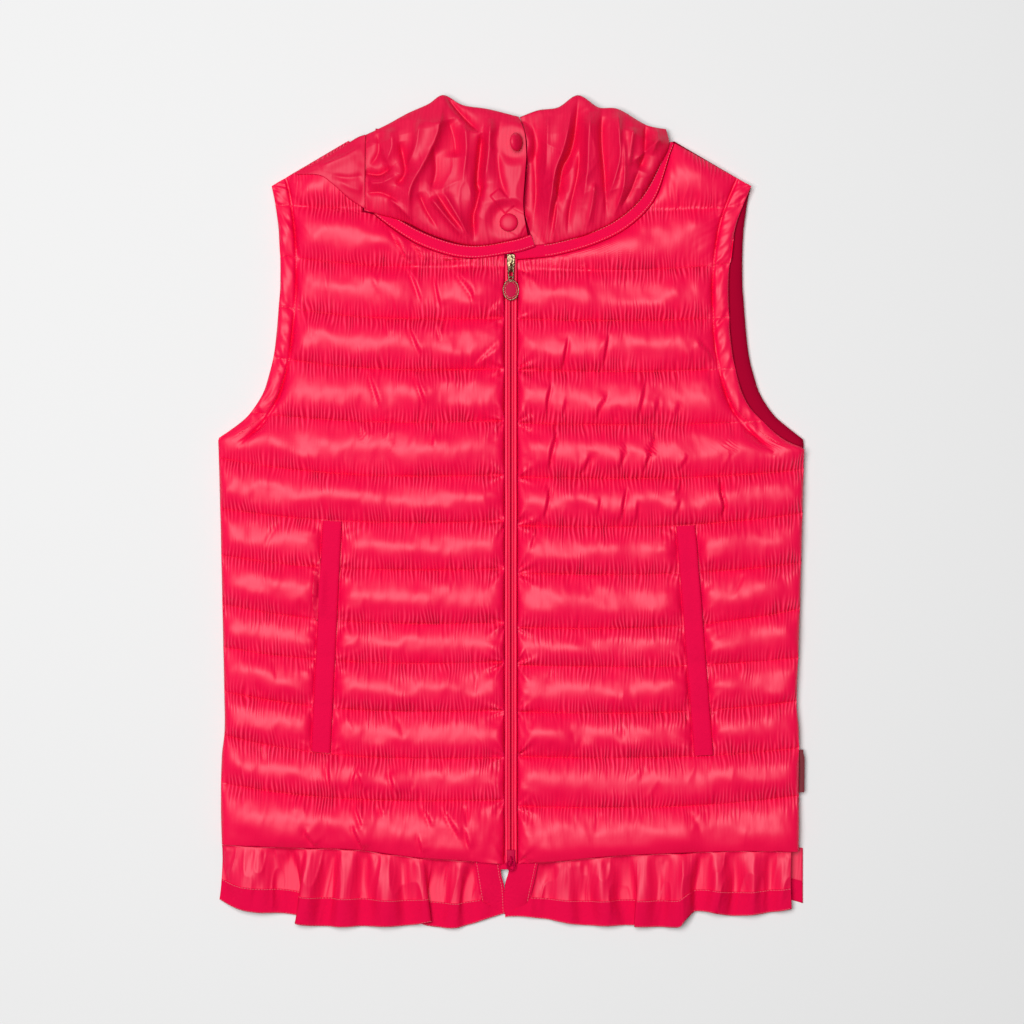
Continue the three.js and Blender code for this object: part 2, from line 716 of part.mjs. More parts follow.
const tabRise = tapeThick + seamGap;
const tabBase = (x) => frontBase + tabRise * smooth(x, -12, 3);
const leftRibbon = ribbon(neckTapeLeft, 20, 0, 1, tabBase, tapeThick);
const turned = (rows) => rows.map((row) => [...row].reverse());
addMesh("neck_tape_left", wall(turned(leftRibbon.upper), turned(leftRibbon.lower)), grosgrain);
const rightRibbon = ribbon(neckTapeRight, 22, 0, 1, () => frontBase, tapeThick);
addMesh("neck_tape_right", wall(turned(rightRibbon.upper), turned(rightRibbon.lower)), grosgrain);

// Back neck binding, flat on the surface under the hood
const backTapeGrid = (z, low, high) =>
  [low, high].map((offset) => span(0, 14).map((k) => {
    const x = mix(-126, 126, k / 14);
    return [x, backNeckY(x) + offset, z];
  }));
const backTape = wall(backTapeGrid(3, seamGap + 0.1, tapeWidth), backTapeGrid(0, seamGap + 0.1, tapeWidth));
addMesh("neck_tape_back", backTape, grosgrain);

// Hood, heaped in the neck
function foldRise(x, y) {
  return hoodFolds.reduce((sum, fold) => {
    const dx = fold.highX - fold.lowX;
    const dy = fold.highY - fold.lowY;
    const t = ((x - fold.lowX) * dx + (y - fold.lowY) * dy) / (dx * dx + dy * dy);
    const held = THREE.MathUtils.clamp(t, 0, 1);
    const away = Math.hypot(x - fold.lowX - held * dx, y - fold.lowY - held * dy);
    return sum + fold.rise * Math.exp(-((away / fold.width) ** 2));
  }, 0);
}

const snaps = [
  { name: "snap_cap_lower", x: -2.3, y: 237.6, bed: 9, tilt: 0 },
  { name: "snap_cap_upper", x: 2.6, y: 302.6, bed: 12, tilt: 0.95 },
];

function hoodGrid(low, top, leftSide, rightSide, leftRise, rightRise) {
  const columns = 24;
  const rows = 18;
  const grid = [];
  const lowCurve = new THREE.SplineCurve(low.map((row) => new THREE.Vector2(row.x, row.y)));
  const topCurve = new THREE.SplineCurve(top.map((row) => new THREE.Vector2(row.x, row.y)));
  for (let i = 0; i <= rows; i++) {
    const v = i / rows;
    const row = [];
    for (let j = 0; j <= columns; j++) {
      const u = j / columns;
      const p = lowCurve.getPoint(u).lerp(topCurve.getPoint(u), v);
      const shift = (side, end) => {
        if (!side) return new THREE.Vector2();
        const straight = lowCurve.getPoint(end).lerp(topCurve.getPoint(end), v);
        return new THREE.Vector2(read(side, "t", "x", v), read(side, "t", "y", v)).sub(straight);
      };
      p.addScaledVector(shift(leftSide, 0), 1 - u).addScaledVector(shift(rightSide, 1), u);
      const fromLow = Math.sqrt(Math.min(1, v / 0.3));
      const fromTop = Math.sqrt(Math.min(1, (1 - v) / 0.22));
      const fromLeft = mix(leftRise, 1, Math.sqrt(Math.min(1, u / 0.16)));
      const fromRight = mix(rightRise, 1, Math.sqrt(Math.min(1, (1 - u) / 0.16)));
      const body = (0.25 + 0.75 * fromLow) * (0.3 + 0.7 * fromTop) * fromLeft * fromRight;
      let lift = 17 * body + foldRise(p.x, p.y) * Math.min(1, body * 1.2);
      snaps.forEach((snap) => {
        const near = smooth(Math.hypot(p.x - snap.x, p.y - snap.y), 15, 23);
        lift = mix(snap.bed, lift, near);
      });
      row.push([p.x, p.y, frontBase + Math.max(lift, clothThick * 2)]);
    }
    grid.push(row);
  }
  return grid;
}
const placketGap = placket.map((row) => ({ t: row.t, x: row.x + 0.8, y: row.y - 0.4 }));
placketGap[0] = { t: 0, x: hoodRightLow[0].x, y: hoodRightLow[0].y };
const hoodLeftGrid = hoodGrid(hoodLeftLow, hoodLeftTop, null, placket, 0.35, 0.85);
const hoodRightGrid = hoodGrid(hoodRightLow, hoodRightTop, placketGap, hoodRightSide, 0.45, 0.35);
addMesh("hood_left", mound(hoodLeftGrid, frontBase), nylon);
addMesh("hood_right", mound(hoodRightGrid, frontBase), nylon);

function hoodBackOutline() {
  const outline = [];
  for (let x = -110; x <= 112; x += 18.5) {
    outline.push(new THREE.Vector2(x, backNeckY(x) + tapeWidth + seamGap));
  }
  [...hoodRightTop].reverse().slice(2).forEach((row) => outline.push(new THREE.Vector2(row.x, row.y - 3)));
  [...hoodLeftTop].reverse().slice(1, -1).forEach((row) => outline.push(new THREE.Vector2(row.x, row.y - 3)));
  return outline;
}
addMesh("hood_back", slab(hoodBackOutline(), backTop, 0, 2.5), nylon);

// Corner of the hood that spreads over the left shoulder
function wingGrid(lift) {
  const columns = 10;
  const rows = 7;
  const low = new THREE.SplineCurve(wingLow.map((row) => new THREE.Vector2(row.x, row.y)));
  const top = new THREE.SplineCurve(wingTop.map((row) => new THREE.Vector2(row.x, row.y)));
  const highest = (x, y) => {
    const around = [[0, 0], [6, 0], [-6, 0], [0, 6], [0, -6]];
    const height = (px, py) => puff(leftFront, px, Math.min(py, shoulderY(px) - 1));
    return Math.max(...around.map(([dx, dy]) => height(x + dx, y + dy)));
  };
  return span(0, rows).map((i) => span(0, columns).map((j) => {
    const p = low.getPoint(j / columns).lerp(top.getPoint(j / columns), i / rows);
    return [p.x, p.y, frontBase + highest(p.x, p.y) + 0.6 + lift];
  }));
}
addMesh("hood_wing_left", wall(wingGrid(clothThick + 0.6), wingGrid(0)), nylon);

// Covered snap caps on the placket
function capGeometry() {
  const profile = [
    [0, 0],
    [capRadius - 1, 0],
    [capRadius, 1.2],
    [capRadius - 0.4, 2.6],
    [capRadius - 2.4, 3.9],
    [0, 4.5],
  ].map(([r, z]) => new THREE.Vector2(r, z));
  return new THREE.LatheGeometry(profile, 28).rotateX(Math.PI / 2);
}
snaps.forEach((snap) => {
  const cap = addMesh(snap.name, capGeometry(), nylon);
  cap.rotation.y = snap.tilt;
  cap.position.set(snap.x, snap.y, frontBase + snap.bed + seamGap + capRadius * Math.sin(snap.tilt));
});

// Zip: two tapes with piping, the coil, the sliders and their pulls
const tapeTop = frontBase + 1.6;
const coilTop = frontBase + 4.1;
const pipingRadius = 1.6;
const pivot = { y: 201, z: coilTop + 3.0 };
const lowPivot = { y: -285.5, z: coilTop + 3.0 };
const zipLength = zip.top - zip.bottom;

function alongY(shape, fromY, length) {
  return new THREE.ExtrudeGeometry(shape, { depth: length, bevelEnabled: false })
    .rotateX(Math.PI / 2)
    .translate(0, fromY + length, 0);
}

function zipTape(outerX, innerX) {
  const inward = Math.sign(innerX - outerX);
  const pipeX = outerX + inward * pipingRadius;
  const shape = new THREE.Shape();
  shape.moveTo(outerX, frontBase);
  shape.lineTo(innerX, frontBase);
  shape.lineTo(innerX, tapeTop);
  shape.lineTo(pipeX + inward * pipingRadius, tapeTop);
  for (let k = 1; k < 7; k++) {
    const angle = (Math.PI * k) / 7;
    const [run, rise] = [Math.cos(angle), 1.1 * Math.sin(angle)];
    shape.lineTo(pipeX + inward * pipingRadius * run, tapeTop + pipingRadius * rise);
  }
  shape.lineTo(outerX, tapeTop);
  return alongY(shape, zip.bottom, zipLength);
}
addMesh("zip_tape_left", zipTape(zip.leftEdge + seamGap, zip.x - seamGap / 2), grosgrain);
addMesh("zip_tape_right", zipTape(zip.rightEdge - seamGap, zip.x + seamGap / 2), grosgrain);

const coilShape = new THREE.Shape();
coilShape.moveTo(zip.x - 1.7, tapeTop + seamGap);
coilShape.lineTo(zip.x + 1.7, tapeTop + seamGap);
coilShape.lineTo(zip.x + 1.7, coilTop - 0.7);
coilShape.lineTo(zip.x + 0.9, coilTop);
coilShape.lineTo(zip.x - 0.9, coilTop);
coilShape.lineTo(zip.x - 1.7, coilTop - 0.7);
addMesh("zip_coil", alongY(coilShape, zip.bottom + 1, zipLength - 4), grosgrain);

// A slider's plate with turned-down sides, and the crown that holds its pull.
function sliderGeometry(centreY, length, pivotY) {
  const plateLow = coilTop + seamGap;
  const plateTop = plateLow + 1.4;
  const half = 3.3;
  const plate = new THREE.Shape();
  plate.moveTo(zip.x - half, plateLow - 0.6);
  plate.lineTo(zip.x - half + 1.2, plateLow - 0.6);
  plate.lineTo(zip.x - half + 1.5, plateLow);
  plate.lineTo(zip.x + half - 1.5, plateLow);
  plate.lineTo(zip.x + half - 1.2, plateLow - 0.6);
  plate.lineTo(zip.x + half, plateLow - 0.6);
  plate.lineTo(zip.x + half, plateTop - 0.5);
  plate.lineTo(zip.x + half - 0.7, plateTop);
  plate.lineTo(zip.x - half + 0.7, plateTop);
  plate.lineTo(zip.x - half, plateTop - 0.5);
  const crown = new THREE.Shape();
  crown.absellipse(0, 0, 3.3, 3.6, 0, Math.PI, false);
  crown.lineTo(-3.3, -0.9);
  crown.lineTo(3.3, -0.9);
  const hole = new THREE.Path();
  hole.absellipse(0, 1.0, 1.9, 1.35, 0, Math.PI * 2, true);
  crown.holes.push(hole);
  const arch = new THREE.ExtrudeGeometry(crown, { depth: 1.6, bevelEnabled: false, curveSegments: 10 })
    .translate(0, 0, -0.8)
    .rotateX(Math.PI / 2)
    .rotateZ(Math.PI / 2)
    .translate(zip.x, pivotY, plateTop + 0.2);
  return joined([alongY(plate, centreY - length / 2, length), arch]);
}
addMesh("zip_slider", sliderGeometry(204.6, 14.8, pivot.y), gold);
addMesh("zip_slider_lower", sliderGeometry(-283.4, 13, lowPivot.y), lacquer);

function sideProfile(points, fromX, thick) {
  const shape = new THREE.Shape(points.map(([y, z]) => new THREE.Vector2(y, z)));
  return new THREE.ExtrudeGeometry(shape, { depth: thick, bevelEnabled: false })
    .rotateX(Math.PI / 2)
    .rotateZ(Math.PI / 2)
    .translate(fromX, 0, 0);
}

const barRadius = 0.65;
const linkInner = 1.3; // from the crown's middle to the inside of a link's side
const linkThick = 1.3;

// A pull: the bar through the crown, and a side each way down to what hangs from it.
function pullSides(at, reach, drop, tail) {
  const bar = new THREE.CylinderGeometry(barRadius, barRadius, 2 * (linkInner + linkThick), 14)
    .rotateZ(Math.PI / 2)
    .translate(zip.x, at.y, at.z);
  const outline = [
    [at.y + barRadius, at.z - barRadius],
    [at.y + barRadius, at.z + barRadius],
    [at.y - reach, at.z + barRadius],
    [at.y - tail, at.z - drop + barRadius],
    [at.y - tail, at.z - drop - barRadius],
    [at.y - reach - 0.6, at.z - barRadius],
  ];
  const leftSide = sideProfile(outline, zip.x - linkInner - linkThick, linkThick);
  const rightSide = sideProfile(outline, zip.x + linkInner, linkThick);
  return [bar, leftSide, rightSide];
}

const pendant = { width: 13.6, height: 17.4, thick: 1.8, centreY: 182.6 };
const pendantLow = coilTop + 2; // it lies across the edges of both fronts
const oval = new THREE.Shape();
oval.absellipse(zip.x, pendant.centreY, pendant.width / 2, pendant.height / 2, 0, Math.PI * 2, false);
const disc = new THREE.ExtrudeGeometry(oval, {
  depth: pendant.thick - 0.8,
  bevelEnabled: true,
  bevelThickness: 0.4,
  bevelSize: 0.4,
  bevelOffset: -0.4,
  bevelSegments: 1,
  curveSegments: 18,
}).translate(0, 0, pendantLow + 0.4);
const dropToPendant = pivot.z - pendantLow - barRadius;
const upperPull = joined([...pullSides(pivot, 4.2, dropToPendant, 11.5), disc]);
addMesh("zip_pull", upperPull, lacquer);

const loopEnd = new THREE.BoxGeometry(2 * (linkInner + linkThick), 1.3, 1.3).translate(
  zip.x,
  lowPivot.y - 8.4,
  lowPivot.z - 1.6,
);
addMesh("zip_loop_lower", joined([...pullSides(lowPivot, 5.2, 1.6, 9), loopEnd]), lacquer);

// Ruffles. What lies past the back ruffle's edge comes down to the surface.
const backEdgeY = (x) => -322 + 33 * (1 - (x / 240) ** 2);

function restHeight(x, y) {
  const past = backEdgeY(x) - 1.5 - y;
  return mix(frontBase + 0.4, 0.3, smooth(past, 0, 20));
}

function frontStitchY(edge, x) {
  return read(edge, "x", "y", x) + bandHeight + 2.2;
}

function ruffleZ(table, x, y) {
  const topY = read(hemLine, "x", "y", x);
  const share = THREE.MathUtils.clamp((topY - y) / 50, 0, 1);
  return restHeight(x, y) + read(table, "x", "rise", x) * (0.12 + 0.88 * share);
}

const hemSlack = 0.3; // the hem's curve is cut into straight steps
function ruffleWall(name, look, thick, columns, rows, placeAt, zAt) {
  const grid = (lift) =>
    span(0, rows).map((i) => span(0, columns).map((j) => {
      const [x, y] = placeAt(j / columns, 1 - i / rows);
      return [x, y, zAt(x, y) + lift];
    }));
  addMesh(name, wall(grid(thick), grid(0)), look);
}

function frontRuffle(side, edge, flounces, outerTopX, outerLowX, band) {
  const zAt = (x, y) => ruffleZ(flounces, x, y);
  const columns = 44;
  const ends = (u, s) => {
    const outer = mix(outerTopX, outerLowX, s);
    const inner = mix(band.topX, band.mitreX, s) + side * seamGap;
    return side < 0 ? mix(outer, inner, u) : mix(inner, outer, u);
  };
  const name = side < 0 ? "left" : "right";
  ruffleWall("ruffle_" + name, nylon, clothThick, columns, 4, (u, s) => {
    const x = ends(u, s);
    const top = read(hemLine, "x", "y", x) - seamGap - hemSlack;
    return [x, mix(top, frontStitchY(edge, x) + seamGap, s)];
  }, zAt);
  ruffleWall("hem_band_" + name, grosgrain, bandThick, columns, 3, (u, s) => {
    const lowX = edge[side < 0 ? edge.length - 1 : 0].x;
    const outerX = outerLowX;
    const innerX = mix(band.mitreX, lowX, s) + side * seamGap;
    const x = side < 0 ? mix(outerX, innerX, u) : mix(innerX, outerX, u);
    const stitched = side < 0 ? Math.min(x, band.mitreX) : Math.max(x, band.mitreX);
    const straight = mix(frontStitchY(edge, stitched), read(edge, "x", "y", x), s);
    return [x, straight];
  }, zAt);
}
frontRuffle(-1, lowerEdgeLeft, flouncesLeft, -237.4, -240.6, endBandLeft);
frontRuffle(1, lowerEdgeRight, flouncesRight, 228, 230.4, endBandRight);

// Upright ribbed ends of the front ruffles, either side of the centre front
function endBand(name, side, band, edge, flounces) {
  const low = edge[side < 0 ? edge.length - 1 : 0];
  const mitreY = frontStitchY(edge, band.mitreX);
  const inner = (s) => {
    const y = mix(band.edgeY, low.y + 0.6, s);
    const x = mix(band.edgeX, meetX, Math.min(1, (band.edgeY - y) / (band.edgeY - meetY)));
    return [x + side * seamGap, y];
  };
  const outer = (s) => [mix(band.topX, band.mitreX, s), mix(band.topY, mitreY + 0.5, s)];
  ruffleWall(name, grosgrain, bandThick, 4, 9, (u, s) => {
    const a = outer(s);
    const b = inner(s);
    const across = side < 0 ? u : 1 - u;
    return [mix(a[0], b[0], across), mix(a[1], b[1], across)];
  }, (x, y) => ruffleZ(flounces, x, y));
}
endBand("end_band_left", -1, endBandLeft, lowerEdgeLeft, flouncesLeft);
endBand("end_band_right", 1, endBandRight, lowerEdgeRight, flouncesRight);

const backWave = (x) => 0.1 + 2.9 * (1 + Math.cos((x * 2 * Math.PI) / 31));
const backColumns = 46;
const backX = (u) => mix(-235, 240.2, u);
ruffleWall("ruffle_back", nylon, clothThick, backColumns, 2, (u, s) => {
  const x = backX(u);
  return [x, mix(backHemY(x) - seamGap - 0.2, backEdgeY(x) + bandHeight + seamGap, s)];
}, backWave);
ruffleWall("hem_band_back", grosgrain, bandThick, backColumns, 1, (u, s) => {
  const x = backX(u);
  return [x, mix(backEdgeY(x) + bandHeight, backEdgeY(x), s)];
}, backWave);

// Blank tab in the right side seam
const tabGrid = (z) => [-230, -195].map((y) => [0, 1].map((k) => {
  const x = read(sideSeamRight, "y", "x", y) + seamGap;
  return [x + k * (y < -200 ? 4.4 : 3), y, z];
}));
addMesh("side_tab", wall(tabGrid(8.6), tabGrid(7.8)), maroon);

export default vest;
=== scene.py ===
import math

import bmesh
import bpy
import numpy as np
from mathutils import Matrix, Vector


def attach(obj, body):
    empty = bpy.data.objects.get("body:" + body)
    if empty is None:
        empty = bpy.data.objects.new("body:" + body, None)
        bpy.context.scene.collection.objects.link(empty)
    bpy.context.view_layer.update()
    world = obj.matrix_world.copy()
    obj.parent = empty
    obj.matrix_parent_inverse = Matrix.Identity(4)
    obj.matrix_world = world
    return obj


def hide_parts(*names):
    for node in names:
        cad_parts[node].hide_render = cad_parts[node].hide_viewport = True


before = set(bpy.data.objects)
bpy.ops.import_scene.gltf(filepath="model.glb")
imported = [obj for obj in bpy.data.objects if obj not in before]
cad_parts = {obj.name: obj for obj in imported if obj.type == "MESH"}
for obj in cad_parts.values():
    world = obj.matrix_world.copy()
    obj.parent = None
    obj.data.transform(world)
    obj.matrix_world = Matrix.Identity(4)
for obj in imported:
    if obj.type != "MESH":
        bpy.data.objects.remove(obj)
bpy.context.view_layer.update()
scene = bpy.context.scene
scene.view_settings.view_transform = "Standard"
mm = 0.001


# Reading tables and curves

def readTable(rows, at, column=1):
    rows = sorted(rows)
    knots = np.array([row[0] for row in rows], float)
    values = np.array([row[column] for row in rows], float)
    before = np.maximum(np.arange(len(rows)) - 1, 0)
    after = np.minimum(np.arange(len(rows)) + 1, len(rows) - 1)
    slopes = (values[after] - values[before]) / (knots[after] - knots[before])
    at = np.clip(at, knots[0], knots[-1])
    i = np.clip(np.searchsorted(knots, at) - 1, 0, len(rows) - 2)
    span = knots[i + 1] - knots[i]
    t = (at - knots[i]) / span
    t2, t3 = t * t, t * t * t
    ends = values[i] * (2 * t3 - 3 * t2 + 1) + values[i + 1] * (3 * t2 - 2 * t3)
    return ends + slopes[i] * span * (t3 - 2 * t2 + t) + slopes[i + 1] * span * (t3 - t2)


def onCurve(points, t):
    points = np.array(points, float)
    t = np.clip(np.asarray(t, float), 0, 1) * (len(points) - 1)
    i = np.minimum(t.astype(int), len(points) - 2)
    w = (t - i)[..., None]
    p0, p1 = points[np.maximum(i - 1, 0)], points[i]
    p2, p3 = points[i + 1], points[np.minimum(i + 2, len(points) - 1)]
    v0, v1 = (p2 - p0) / 2, (p3 - p1) / 2
    return (2 * p1 - 2 * p2 + v0 + v1) * w**3 + (-3 * p1 + 3 * p2 - 2 * v0 - v1) * w**2 + v0 * w + p1


def mix(a, b, t):
    return a + (b - a) * t


def stacked(*fields):
    return np.stack(np.broadcast_arrays(*fields), -1)


def smooth(value, low, high):
    t = np.clip((value - low) / (high - low), 0, 1)
    return t * t * (3 - 2 * t)


def lumps(seed, u, v=0.0):
    lattice = np.random.default_rng(seed).uniform(-1, 1, (97, 97))
    u, v = np.broadcast_arrays(np.asarray(u, float), np.asarray(v, float))
    i, j = np.floor(u).astype(int), np.floor(v).astype(int)
    f, g = u - i, v - j
    f, g = f**3 * (6 * f * f - 15 * f + 10), g**3 * (6 * g * g - 15 * g + 10)
    at = lambda a, b: lattice[(i + a) % 97, (j + b) % 97]
    return mix(mix(at(0, 0), at(1, 0), f), mix(at(0, 1), at(1, 1), f), g)


def nearest(x, y, curve):
    # distance from each point to a drawn line, the side it lies on, and how far along it is
    best = np.full(np.shape(x), 1e9)
    side = np.zeros(np.shape(x))
    along = np.zeros(np.shape(x))
    for k in range(len(curve) - 1):
        a, d = curve[k], curve[k + 1] - curve[k]
        t = np.clip(((x - a[0]) * d[0] + (y - a[1]) * d[1]) / max(d @ d, 1e-9), 0, 1)
        px, py = x - a[0] - t * d[0], y - a[1] - t * d[1]
        distance = np.hypot(px, py)
        closer = distance < best
        best = np.where(closer, distance, best)
        side = np.where(closer, np.sign(d[0] * py - d[1] * px), side)
        along = np.where(closer, (k + t) / (len(curve) - 1), along)
    return best, side, along


def creased(x, y, folds, steps=10, point=1.6):
    # sum of folds (points, rise, width, lean): lean makes one side of a fold steeper than the other,
    # and a lower "point" makes its crest sharper
    lift = np.zeros(np.shape(x))
    for points, rise, width, lean in folds:
        curve = onCurve(points, np.linspace(0, 1, steps))
        reach = width * 3.2
        low, high = curve.min(0) - reach, curve.max(0) + reach
        close = (x > low[0]) & (x < high[0]) & (y > low[1]) & (y < high[1])
        if not close.any():
            continue
        away, side, along = nearest(x[close], y[close], curve)
        spread = width * (1 + lean * side)
        taper = smooth(along, 0, 0.22) * smooth(along, 1, 0.7)
        lift[close] += rise * (0.15 + 0.85 * taper) * np.exp(-((away / spread) ** point))
    return lift


# Writing meshes

def meshObject(name, bm, look, sharp=None):
    mesh = bpy.data.meshes.new(name)
    bmesh.ops.recalc_face_normals(bm, faces=bm.faces)
    bm.to_mesh(mesh)
    bm.free()
    mesh.polygons.foreach_set("use_smooth", np.ones(len(mesh.polygons), bool))
    if sharp:
        mesh.set_sharp_from_angle(angle=math.radians(sharp))
    mesh.materials.append(look)
    obj = bpy.data.objects.new(name, mesh)
    scene.collection.objects.link(obj)
    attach(obj, "vest")
    return obj


def gridFrom(points):
    # a bmesh grid moved onto rows x columns of points in millimetres
    rows, columns = points.shape[:2]
    bm = bmesh.new()
    bmesh.ops.create_grid(bm, x_segments=columns - 1, y_segments=rows - 1, size=1)
    bm.verts.ensure_lookup_table()
    for vert, place in zip(bm.verts, points.reshape(-1, 3) * mm):
        vert.co = place
    return bm


def gridPair(x, y, above, below):
    # a top grid and a copy of it at the lower heights, with the edges of both rims
    bm = gridFrom(stacked(x, y, above))
    top = list(bm.verts)
    rim = [edge for edge in bm.edges if edge.is_boundary]
    copy = bmesh.ops.duplicate(bm, geom=bm.verts[:] + bm.edges[:] + bm.faces[:])
    for vert, height in zip(top, below.reshape(-1)):
        copy["vert_map"][vert].co.z = height * mm
    return bm, rim + [copy["edge_map"][edge] for edge in rim]


def closeBelow(bm, base):
    # walls down from the rim to a plain underside
    rim = [edge for edge in bm.edges if edge.is_boundary]
    made = bmesh.ops.extrude_edge_only(bm, edges=rim)["geom"]
    for item in made:
        if isinstance(item, bmesh.types.BMVert):
            item.co.z = base * mm
    under = [e for e in made if isinstance(e, bmesh.types.BMEdge) and e.is_boundary]
    bmesh.ops.contextual_create(bm, geom=under)


def addAttribute(obj, name, values):
    values = np.asarray(values, float)
    mesh = obj.data
    padded = np.zeros(len(mesh.vertices))
    padded[: values.size] = values.reshape(-1)
    mesh.attributes.new(name, "FLOAT", "POINT").data.foreach_set("value", padded)


def thicken(obj, thick, offset=-1):
    wall = obj.modifiers.new("thickness", "SOLIDIFY")
    wall.thickness = thick * mm
    wall.offset = offset


# Materials

def material(name, color, roughness, **more):
    made = bpy.data.materials.new(name)
    made.use_nodes = True
    shader = made.node_tree.nodes["Principled BSDF"]
    shader.inputs["Base Color"].default_value = (*color, 1)
    shader.inputs["Roughness"].default_value = roughness
    for socket, value in more.items():
        shader.inputs[socket.replace("_", " ")].default_value = value
    return made


def node(made, kind, inputs=(), **settings):
    new = made.node_tree.nodes.new("ShaderNode" + kind)
    for key, value in settings.items():
        setattr(new, key, value)
    for key, value in dict(inputs).items():
        if isinstance(value, bpy.types.NodeSocket):
            made.node_tree.links.new(value, new.inputs[key])
        else:
            new.inputs[key].default_value = value
    return new


def product(made, a, b, **settings):
    return node(made, "Math", {0: a, 1: b}, operation="MULTIPLY", **settings).outputs[0]


def bumped(made, height, distance, strength=1.0, onto=None):
    bump = node(made, "Bump", {"Height": height, "Distance": distance * mm, "Strength": strength})
    if onto:
        made.node_tree.links.new(onto, bump.inputs["Normal"])
    made.node_tree.links.new(bump.outputs[0], made.node_tree.nodes["Principled BSDF"].inputs["Normal"])
    return bump.outputs[0]


def objectNoise(made, scale, detail=2.0):
    # noise whose lumps are 1/scale metres long in each direction
    place = node(made, "TexCoord").outputs["Object"]
    stretched = node(made, "Mapping", {"Vector": place, "Scale": scale}).outputs[0]
    return node(made, "TexNoise", {"Vector": stretched, "Scale": 1.0, "Detail": detail}).outputs["Fac"]


def nylonShell(name, color, roughness, comb, ior=1.4):
    # down-proof nylon: an even comb of fine puckers beside the stitching, by the "pucker" attribute; the comb
    # is bumped, and a painted highlight and painted shade follow it in the base colour
    made = material(name, color, roughness, IOR=ior)
    pucker = node(made, "Attribute", attribute_name="pucker").outputs["Fac"]
    place = node(made, "TexCoord").outputs["Object"]
    across = node(made, "SeparateXYZ", {0: place}).outputs[0]
    wander = objectNoise(made, (70, 25, 25), 1.0)
    turns = product(made, across, 1000 / comb["period"])
    turns = node(made, "Math", {0: wander, 1: comb["wander"], 2: turns}, operation="MULTIPLY_ADD").outputs[0]
    angle = product(made, turns, 2 * math.pi)
    wave = node(made, "Math", {0: angle}, operation="SINE").outputs[0]
    wave = product(made, wave, product(made, objectNoise(made, (160, 60, 60), 2.0), 2.2))
    drawn = product(made, wave, pucker)
    normal = bumped(made, drawn, comb["depth"])
    soft = objectNoise(made, (150, 70, 70), 2.0)
    bumped(made, soft, comb["soft"], 0.6, normal)
    # painted highlight and painted shade: the base colour is lightened on the folds of the comb and darkened
    # between them, where light and shade would fall
    cloth = (*color, 1)
    for sign, paintedShading in ((1, comb["paintedLight"]), (-1, comb["paintedShade"])):
        share = product(made, drawn, sign * comb["paintedShading"], use_clamp=True)
        cloth = node(made, "MixRGB", {0: share, 1: cloth, 2: (*paintedShading, 1)}).outputs[0]
    made.node_tree.links.new(cloth, made.node_tree.nodes["Principled BSDF"].inputs["Base Color"])
    return made


ribPeriod = 0.9


def grosgrainCloth(name, color):
    # ribbed tape: ribs run across it, along the "rib" attribute
    made = material(name, color, 0.8, IOR=1.2)
    rib = node(made, "Attribute", attribute_name="rib").outputs["Fac"]
    wave = node(made, "Math", {0: product(made, rib, 2 * math.pi / ribPeriod)}, operation="SINE").outputs[0]
    normal = bumped(made, wave, 0.1, 0.8)
    normal = bumped(made, objectNoise(made, (900, 900, 900), 2.0), 0.12, 0.5, normal)
    bumped(made, objectNoise(made, (330, 330, 330), 2.0), 0.5, 0.7, normal)
    return made


# each comb's two colours are a painted highlight on its folds and a painted shade between them, mixed into
# the cloth's colour at the given strength
shellComb = {"period": 3.1, "wander": 3.0, "depth": 0.25, "soft": 0.3, "paintedShading": 1.0,
             "paintedLight": (0.97, 0.032, 0.11), "paintedShade": (0.68, 0.0, 0.038)}
plainComb = {"period": 3.4, "wander": 4.0, "depth": 0.05, "soft": 0.15, "paintedShading": 0.2,
             "paintedLight": (0.90, 0.02, 0.09), "paintedShade": (0.50, 0.0, 0.03)}
shellLook = nylonShell("quilted shell", (0.83, 0.0, 0.058), 0.45, shellComb, 1.37)
liningLook = material("shell lining", (0.34, 0.0, 0.022), 0.8, IOR=1.12)
hoodLook = nylonShell("hood nylon", (0.72, 0.0, 0.050), 0.52, plainComb, 1.38)
ruffleLook = nylonShell("ruffle nylon", (0.80, 0.001, 0.060), 0.48, plainComb, 1.4)
ribbedLook = grosgrainCloth("ribbed tape", (0.76, 0.0, 0.056))
threadLook = material("seam thread", (0.95, 0.16, 0.22), 0.6)
quiltThreadLook = material("quilting thread", (0.72, 0.003, 0.04), 0.6)
goldLook = material("pale gold", (0.20, 0.15, 0.085), 0.34, Metallic=1.0)
bumped(goldLook, objectNoise(goldLook, (420, 420, 420), 1.0), 0.9, 1.0)
lacquerLook = material("red lacquer", (0.50, 0.0, 0.045), 0.42, IOR=1.12)
coilLook = material("zip coil", (0.74, 0.003, 0.05), 0.5, IOR=1.35)
tabLook = material("maroon tab", (0.16, 0.012, 0.02), 0.8)

# Layout shared by the pieces

seamGap = 0.3
backTop = 8.0
frontBase = backTop + seamGap
shoulder = {"tipX": 197.2, "tipY": 268.6, "neckX": 134.0, "neckY": 305.5}
tapeWidth = 10.8
sideSeamLeft = [(-292, -237.0), (-272, -238.0), (-240, -238.8), (-200, -238.0), (-180, -235.8),
                (-150, -236.0), (-80, -237.5), (0, -239.3), (59.5, -240.9)]
sideSeamRight = [(-292, 235.6), (-260, 236.4), (-230, 236.2), (-180, 236.3), (-155, 234.3),
                 (-120, 235.8), (-40, 238.2), (0, 239.2), (59.5, 240.8)]
armhole = [(59.5, 240.9), (69.3, 228.4), (79.1, 217.0), (89, 209.5), (98.8, 203.9), (108.6, 200.5),
           (128, 195.6), (148, 193.0), (168, 191.4), (187, 190.0), (224, 190.6), (254, 194.2),
           (268.6, 197.2)]
armholeRightFront = [(52.5, 240.8), (58, 227.5), (67.7, 214.4), (88.2, 194.8), (114.4, 184.9),
                     (141.5, 180.4), (168, 178.7), (195, 178.7), (219.4, 181.3), (240.7, 185.9),
                     (268.6, 197.2)]
